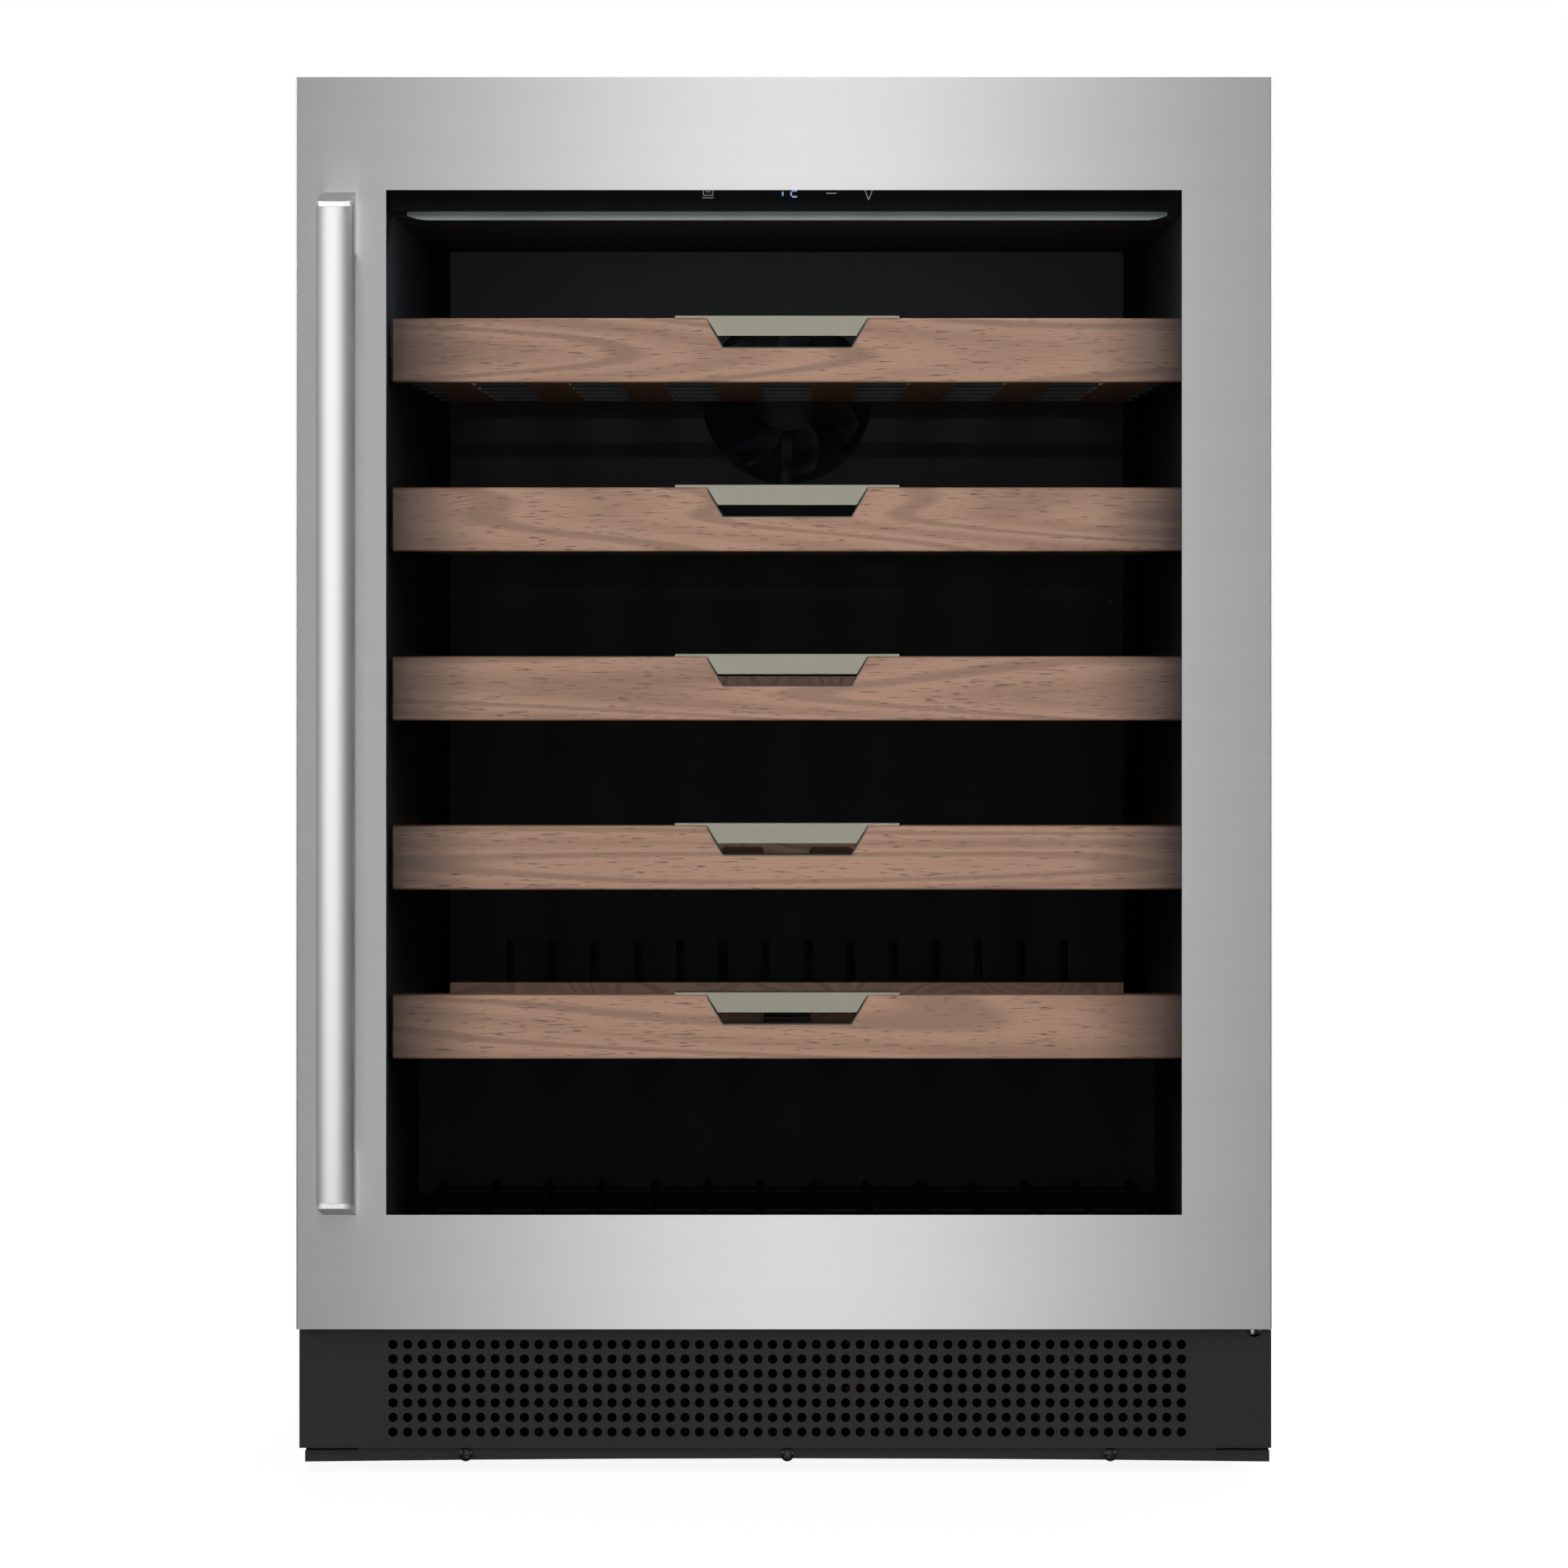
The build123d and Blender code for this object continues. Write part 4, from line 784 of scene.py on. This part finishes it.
plate, strip_screws = Place("hinge_brackets"), Place("base_strip_screws")
back, cover = Place("back_panel"), Place("rear_cover")
plate_columns, plate_rows = (0.252, 0.275), (-0.216, -0.196)
plate_screws = [(x, y, plate.top) for x in plate_columns for y in plate_rows]
screws("hinge_plate_screws", plate_screws, (0, 0, 1), 4.6, 2.6, zinc_plate)
edge_in, rows, top_row = 14 * MM, 5, (-0.14, 0.0, 0.14)
panel_places = []
for n in range(rows):
    z = back.low + edge_in + n * (back.top - back.low - 2 * edge_in) / (rows - 1)
    panel_places += [(back.left + edge_in, back.back, z), (back.right - edge_in, back.back, z)]
panel_places += [(back.mid.x + x, back.back, back.top - edge_in) for x in top_row]
screws("back_panel_screws", panel_places, (0, 1, 0), 4.2, 2.4, zinc_plate)
cover_places = [(x, cover.back, z) for x in (cover.left + edge_in, cover.mid.x, cover.right - edge_in)
                for z in (cover.low + 9 * MM, cover.top - 9 * MM)]  # fmt: skip
screws("rear_cover_screws", cover_places, (0, 1, 0), 4.2, 2.4, zinc_plate)
print("screws:", len(plate_screws) + len(panel_places) + len(cover_places))

# %% [markdown]
# The plinth strip's three screws show from the front. They are blackened, and each is a whole screw:
# its head from the function above, and a threaded shank, which is a turned zigzag.

# %% Plinth strip screws
mesh = bmesh.new()
head_tall, shank_long, thread_pitch = 2.2, 10.0, 0.8
strip_face = strip_screws.front + head_tall * MM
for x in (strip_screws.left + 4.2 * MM, strip_screws.mid.x - 0.5 * MM, strip_screws.right - 4.2 * MM):
    at = Vector((x, strip_face, strip_screws.mid.z))
    screw(mesh, at, (0, -1, 0), 4.2, head_tall)
    zigzag = []
    for n in range(int(shank_long / thread_pitch)):
        zigzag += [(1.6, n * thread_pitch), (2.0, (n + 0.5) * thread_pitch)]
    turn(mesh, zigzag + [(0.3, shank_long)], at, steps=16)
finish_piece("plinth_strip_screws", mesh, pot_enamel, "cabinet", ("base_strip_screws",))

# %% [markdown]
# ## The back
# A flat sheet 600 mm wide would drum, so the real back is pressed: a shallow raised field with rounded
# corners, and three upright beads across it. A grid of points is lifted by a smooth function of its
# distance to the field's edge and to the beads. The sheet is 1 mm thick.


# %% Pressed back panel
def smooth_step(value):
    """0 below 0, 1 above 1, and a soft S between."""
    value = min(1.0, max(0.0, value))
    return value * value * (3 - 2 * value)


field_margin, field_corner, field_lift, field_slope = 34, 26, 2.2, 7
bead_places, bead_short, bead_lift, bead_half, bead_fade = (-150, 0, 150), 45, 2.4, 11, 18
sheet_thick = 1.0


def pressed(x, z, wide, tall):
    """How far the sheet is pressed out, in mm, at a point measured from the panel's middle."""
    field_x, field_z = wide / 2 - field_margin, tall / 2 - field_margin
    corner = field_corner
    dx, dz = max(abs(x) - field_x + corner, 0), max(abs(z) - field_z + corner, 0)
    inside = corner - (dx * dx + dz * dz) ** 0.5
    lift = field_lift * smooth_step(inside / field_slope)
    for bead in bead_places:
        away = abs(x - bead)
        end = field_z - bead_short - abs(z)
        lift += bead_lift * (1 - smooth_step(away / bead_half)) * smooth_step(end / bead_fade)
    return lift


mesh = bmesh.new()
wide, tall = (back.right - back.left) / MM, (back.top - back.low) / MM
columns, lines = 150, 110
skins = []
for offset in (0.0, -sheet_thick):
    grid = []
    for j in range(lines + 1):
        z = -tall / 2 + tall * j / lines
        row = []
        for i in range(columns + 1):
            x = -wide / 2 + wide * i / columns
            y = back.back + (pressed(x, z, wide, tall) + offset) * MM
            row.append(mesh.verts.new((back.mid.x + x * MM, y, back.mid.z + z * MM)))
        grid.append(row)
    skins.append(grid)
join_skins(mesh, skins)
finish_piece("pressed_back", mesh, galvanised_sheet, "cabinet", ("back_panel",))
print("back panel", round(wide), "x", round(tall), "mm")

# %% [markdown]
# ## Louvres on the machine's cover
# Each slot in the lower rear cover is lanced: the sheet above it is pushed out into a long half dome
# that keeps dust and fingers away and lets the warm air out below. A louvre is a strip whose section
# is a quarter of an ellipse, fading to nothing at both ends.


# %% Louvres
grid_x, grid_z, pitch_x, pitch_z, slot_long, slot_tall = -18.0, 120.0, 95.0, 14.0, 80.0, 6.0
slot_columns, slot_rows = 5, 9
louvre_out, louvre_over, cover_thick = 4.2, 1.6, 0.7
stations, arc = 14, 5


def louvre_skin(mesh, centre_x, low_z, inset):
    """One skin of a louvre, inset in mm from its outside: a quarter ellipse at each station."""
    skin = []
    for k in range(stations + 1):
        share = 2 * k / stations - 1
        x = centre_x + share * (slot_long / 2 - inset)
        swell = max(0.02, (1 - abs(share) ** 6)) ** 0.5
        section = []
        for n in range(arc + 1):
            angle = pi / 2 * n / arc
            out = (louvre_out - inset) * swell * cos(angle)
            up = low_z + (slot_tall + louvre_over - inset) * sin(angle) * (0.4 + 0.6 * swell)
            section.append(mesh.verts.new((x * MM, cover.back + out * MM, up * MM)))
        skin.append(section)
    for one, other in zip(skin, skin[1:]):
        for n in range(arc):
            mesh.faces.new((one[n], one[n + 1], other[n + 1], other[n]))
    return skin


mesh = bmesh.new()
for column in range(slot_columns):
    for row in range(slot_rows):
        centre_x = grid_x + (column - slot_columns // 2) * pitch_x
        low_z = grid_z + (row - slot_rows // 2) * pitch_z - slot_tall / 2 + 1.0
        outer, inner = [louvre_skin(mesh, centre_x, low_z, inset) for inset in (0.0, cover_thick)]
        for one, other, inner_one, inner_other in zip(outer, outer[1:], inner, inner[1:]):
            mesh.faces.new((one[0], other[0], inner_other[0], inner_one[0]))
finish_piece("rear_cover_louvres", mesh, galvanised_sheet, "cabinet", smooth=50)
print("louvres:", slot_columns * slot_rows)

# %% [markdown]
# ## The compressor
# The pot is two deep-drawn steel shells with a welded lip between them, standing on a foot plate with
# four rubber grommets. A moulded cover on its side hides the terminals and the starter, and short
# copper stubs carry the pipes. The CAD pot keeps its shape; these pieces give it its detail.

# %% Compressor details
pot = Place("compressor")
pot_middle = Vector((pot.mid.x, pot.mid.y, 0))
mesh = bmesh.new()
pot_radius = 60.0
lip_z = 104.0
lip = [(pot_radius - 1, lip_z - 4), (pot_radius + 0.3, lip_z - 3), (pot_radius + 3.2, lip_z - 1.6)]
lip += [(pot_radius + 3.4, lip_z + 1.4), (pot_radius + 1.0, lip_z + 2.2), (pot_radius - 1, lip_z + 4)]
turn(mesh, lip, pot_middle, axis="Z", steps=96)
finish_piece("compressor_weld_lip", mesh, pot_enamel, "cabinet")

mesh = bmesh.new()
box_half, box_front, box_back = 24 * MM, 88 * MM, 54 * MM
box_z, rib_z = (40 * MM, 92 * MM), (52 * MM, 80 * MM)
cover_x = (pot.mid.x - box_half, pot.mid.x + box_half)
cover_y = (pot.mid.y - box_front, pot.mid.y - box_back)
block(mesh, cover_x, cover_y, box_z, round_mm=4, segments=3)
rib_pitch, rib_half = 8 * MM, 1.2 * MM
for k in range(5):
    x = pot.mid.x + (k - 2) * rib_pitch
    rib_x = (x - rib_half, x + rib_half)
    block(mesh, rib_x, (cover_y[0] - 1 * MM, cover_y[0] + 2 * MM), rib_z, 0.5)
finish_piece("compressor_terminal_cover", mesh, inlet_plastic, "cabinet")

mesh = bmesh.new()
grommet_x, grommet_y = 62, 40
sleeve = [(9.6, 16.2), (9.6, 18.6), (6.5, 19.4), (6.5, 24.2), (8.2, 25.0), (8.2, 27.6), (3.2, 28.4)]
nut = [(5.6, 28.2), (5.6, 31.8), (4.8, 32.4), (1.0, 32.4)]
for x in (-grommet_x, grommet_x):
    for y in (-grommet_y, grommet_y):
        at = pot_middle + Vector((x, y, 0)) * MM
        turn(mesh, sleeve, at, axis="Z", steps=24)
        turn(mesh, nut, at, axis="Z", steps=6)
finish_piece("compressor_grommets", mesh, seal_tpe, "cabinet")
print("pot middle", [round(c / MM) for c in pot_middle])


# %% [markdown]
# ## Return bends
# A finned coil is stacked from fins on straight tubes, and U-shaped bends soldered on their ends make
# them one long path. Each bend is half a turn of a round tube, swept as a ring of points.


# %% Return bends on both coils
def bend(mesh, one, other, out, tube):
    """A half turn of tube from one tube's end to another's, bulging out along X; sizes in mm."""
    middle, radius = (one + other) / 2, (other - one).length / 2
    toward = (other - one).normalized()
    steps, sides = 12, 12
    loops = []
    for k in range(steps + 1):
        angle = pi * k / steps
        centre = middle - toward * radius * cos(angle) + out * radius * sin(angle)
        radial = (centre - middle).normalized()
        side = toward.cross(out).normalized()
        ring = []
        for n in range(sides):
            turned = 2 * pi * n / sides
            ring.append(mesh.verts.new((centre + (radial * cos(turned) + side * sin(turned)) * tube) * MM))
        loops.append(ring)
    close_ends(mesh, loops)


def row_of_bends(mesh, coil, tubes):
    """Joins each tube to the next, at the right and left ends in turn; tubes are (Y, Z) in mm."""
    for n, pair in enumerate(zip(tubes, tubes[1:])):
        end, outward = ((coil.right, 1), (coil.left, -1))[n % 2]
        one, other = [Vector((end / MM, *place)) for place in pair]
        bend(mesh, one, other, Vector((outward * flatness, 0, 0)), tube_radius)
    return len(tubes) - 1


mesh = bmesh.new()
evaporator, condenser = Place("evaporator_coil"), Place("condenser_coil")
tube_radius = 4.0
flatness = 0.55  # a bend stands out just over half as far as a full half circle would
made = 0
for y in (251, 265):
    made += row_of_bends(mesh, evaporator, [(y, z) for z in range(325, 580, 40)])
for z in (38, 68):
    made += row_of_bends(mesh, condenser, [(y, z) for y in (-175, -140, -105)])
finish_piece("coil_return_bends", mesh, copper, "cabinet")
print("return bends:", made)

# %% [markdown]
# ## The feet
# Each foot is a moulded pad on an M10 stud that screws into a boss of the base pan. The pad is ribbed
# round its rim for the fingers, a hexagon above it takes a spanner, and the stud has a thread with a
# pitch of 1.5 mm. All of it turns with the stud, so it rides on that leg's own body.

# %% Feet with pads, hexagons and threads
ribs, stud_mm, nut_top, pitch_mm = 36, 5.0, 12.8, 1.5
pad_rings = ((18.2, 0, 0), (19, 0.8, 0.7), (19, 4.8, 0.7), (16, 8, 0), (9.6, 8, 0))
hexagon = [(8.6, 7.9), (9.2, 8.5), (9.2, 12.2), (8.6, nut_top), (5.0, nut_top)]
for leg in legs:
    foot = Place(leg)
    at = Vector((foot.mid.x, foot.mid.y, 0))
    mesh = bmesh.new()
    loops = []
    for radius, z, depth in pad_rings:
        radii = [radius - depth * (k % 2) for k in range(2 * ribs)]
        loops.append(round_loop(mesh, Matrix.Translation(at), radii, z))
    close_ends(mesh, loops)
    pad = leg.replace("leg", "foot_pad")
    finish_piece(pad, mesh, foot_plastic, leg, (leg,), smooth=30)
    mesh = bmesh.new()
    turn(mesh, hexagon, at, axis="Z", steps=6)
    top_mm = foot.top / MM
    thread = []
    for n in range(int((top_mm - 14) / pitch_mm)):
        z = nut_top + n * pitch_mm
        thread += [(stud_mm - 0.55, z), (stud_mm, z + pitch_mm / 2)]
    thread += [(stud_mm - 0.8, top_mm - 0.6), (stud_mm - 1.6, top_mm)]
    turn(mesh, thread, at, axis="Z", steps=24)
    stud = leg.replace("leg", "foot_stud")
    finish_piece(stud, mesh, zinc_plate, leg, smooth=25)
print("feet:", len(legs))

# %% [markdown]
# ## The camera and the light
# The camera looks level at the door from 3.6 m, a little over half way up, and the lens is shifted
# down so that the upright edges stay upright. A tall narrow lamp stands behind it in the middle: the
# brushed door draws it out into the bright band, and a wide weak lamp gives the darker sides. Light
# linking acts as flags on stands: it keeps glare off the glass, and gives the wood, the trims and the
# handle a soft lamp each. The room is white to the camera alone. The floor is a pale disc that mostly
# glows, so only a faint contact shadow is left, and it fades out at its edge.

# %% Camera
view_distance, eye_height, frame_width, lens_shift = 3.600, 0.543, 0.9737, -0.1185
camera = bpy.data.objects.new("camera", bpy.data.cameras.new("camera"))
bpy.context.scene.collection.objects.link(camera)
bpy.context.scene.camera = camera
camera.location = (0, door.front - view_distance, eye_height)
camera.rotation_euler = (pi / 2, 0, 0)
camera.data.sensor_width = 36.0
camera.data.lens = camera.data.sensor_width * view_distance / frame_width
camera.data.shift_y = lens_shift
camera.data.clip_end = 50
print("lens", round(camera.data.lens, 1), "mm")


# %% Soft lamps and flags
def soft_lamp(name, centre, target, size, watts, colour="#FFFFFF"):
    """A rectangular soft box, aimed at a point."""
    data = bpy.data.lights.new(name, "AREA")
    data.shape, data.size, data.size_y = "RECTANGLE", *size
    data.energy, data.color = watts, linear(colour)[:3]
    made = bpy.data.objects.new(name, data)
    bpy.context.scene.collection.objects.link(made)
    made.location = centre
    made.rotation_euler = (Vector(target) - Vector(centre)).to_track_quat("-Z", "Y").to_euler()
    return made


def flag(lamp, state, *names):
    """Keeps a lamp to some CAD pieces (INCLUDE), or off them (EXCLUDE), as flags on stands do."""
    group = bpy.data.collections.new(lamp.name + "_flag")
    for name in names:
        group.objects.link(nodes[name])
    for entry in group.collection_objects:
        entry.light_linking.link_state = state
    lamp.light_linking.receiver_collection = group


middle = Vector((0, 0, 0.45))
handle = Place("handle_bar")
glossy = ("outer_glass", "inner_glass", "touch_panel", "handle_bar", "handle_brackets")
band = soft_lamp("lamp_front_band", (0.02, -4.9, 0.6), (0.02, 0, 0.5), (0.30, 4.4), 21)
flag(band, "EXCLUDE", *glossy)
broad = soft_lamp("lamp_front_broad", (0, -4.6, 0.9), middle, (2.2, 3.0), 4)
flag(broad, "EXCLUDE", *glossy)
for name, place, watts in (("lamp_left", (-3.6, -1.6, 1.6), 60), ("lamp_right", (3.6, -1.4, 1.5), 50)):
    flag(soft_lamp(name, place, middle, (1.4, 2.2), watts), "EXCLUDE", "handle_bar")
soft_lamp("lamp_top", (-0.4, -0.2, 3.2), middle, (2.6, 2.6), 30)
lens_middle = Vector((lens.mid.x, lens.mid.y, lens.low - 2 * MM))
soft_lamp("lamp_inside", lens_middle, lens_middle + Vector((0, 0.3, -0.5)), (0.44, 0.008), 0.30, "#E6F0F4")
back_lamp = soft_lamp("lamp_back", (0.9, 3.6, 1.6), middle, (3.0, 2.4), 130)
flag(back_lamp, "EXCLUDE", "outer_shell")
wood_lamp = soft_lamp("lamp_wood", (0, -3.6, 0.9), middle, (1.6, 1.6), 110)
flag(wood_lamp, "INCLUDE", *[f"shelf_{form}_{k}" for form in ("front", "slats") for k in shelves])
trim_lamp = soft_lamp("lamp_trims", (0, -3.6, 0.7), middle, (1.6, 1.6), 30)
flag(trim_lamp, "INCLUDE", *[f"shelf_trim_{k}" for k in shelves])
grip_lamp = soft_lamp("lamp_handle", (-0.85, -2.4, 1.1), (handle.mid.x, 0, 0.5), (5.4, 3.2), 80)
flag(grip_lamp, "INCLUDE", "handle_bar", "handle_brackets")
print("lamps:", len(bpy.data.lights))

# %% Room
room = bpy.data.worlds.new("room")
bpy.context.scene.world = room
room.use_nodes = True
room_tree = room.node_tree
room_grey = room_tree.nodes["Background"]
room_grey.inputs["Color"].default_value = linear("#FFFFFF")
room_grey.inputs["Strength"].default_value = 0.10
seen = add(room_tree, "ShaderNodeBackground", {"Color": linear("#FFFFFF"), "Strength": 1.0})
path = add(room_tree, "ShaderNodeLightPath")
choice = add(room_tree, "ShaderNodeMixShader", {0: path.outputs["Is Camera Ray"]})
room_tree.links.new(room_grey.outputs[0], choice.inputs[1])
room_tree.links.new(seen.outputs[0], choice.inputs[2])
room_tree.links.new(choice.outputs[0], room_tree.nodes["World Output"].inputs["Surface"])

# %% Floor
floor_material, tree, shader = new_material("matt_pale_floor", Roughness=0.9)
shader.inputs["Base Color"].default_value = linear("#5A5A5A")
shader.inputs["Emission Color"].default_value = linear("#FFFFFF")
shader.inputs["Emission Strength"].default_value = 0.92
path = add(tree, "ShaderNodeLightPath")
away = add(tree, "ShaderNodeVectorMath", {0: place_on(tree, (1, 1, 1))}, operation="LENGTH")
inputs = {"Value": away.outputs["Value"], "From Min": 0.7, "From Max": 2.4, "To Min": 1.0, "To Max": 0.0}
fade = add(tree, "ShaderNodeMapRange", inputs, interpolation_type="SMOOTHSTEP")
inputs = {0: fade.outputs["Result"], 1: path.outputs["Is Camera Ray"]}
shown = add(tree, "ShaderNodeMath", inputs, operation="MULTIPLY")
tree.links.new(shown.outputs[0], shader.inputs["Alpha"])
bpy.ops.mesh.primitive_circle_add(vertices=96, radius=2.5, fill_type="NGON", location=(0, 0, -0.0005))
floor = bpy.context.object
floor.name = "studio_floor"
floor.data.materials.append(floor_material)
bpy.context.scene.view_settings.view_transform = "Standard"
print("floor:", floor.name)
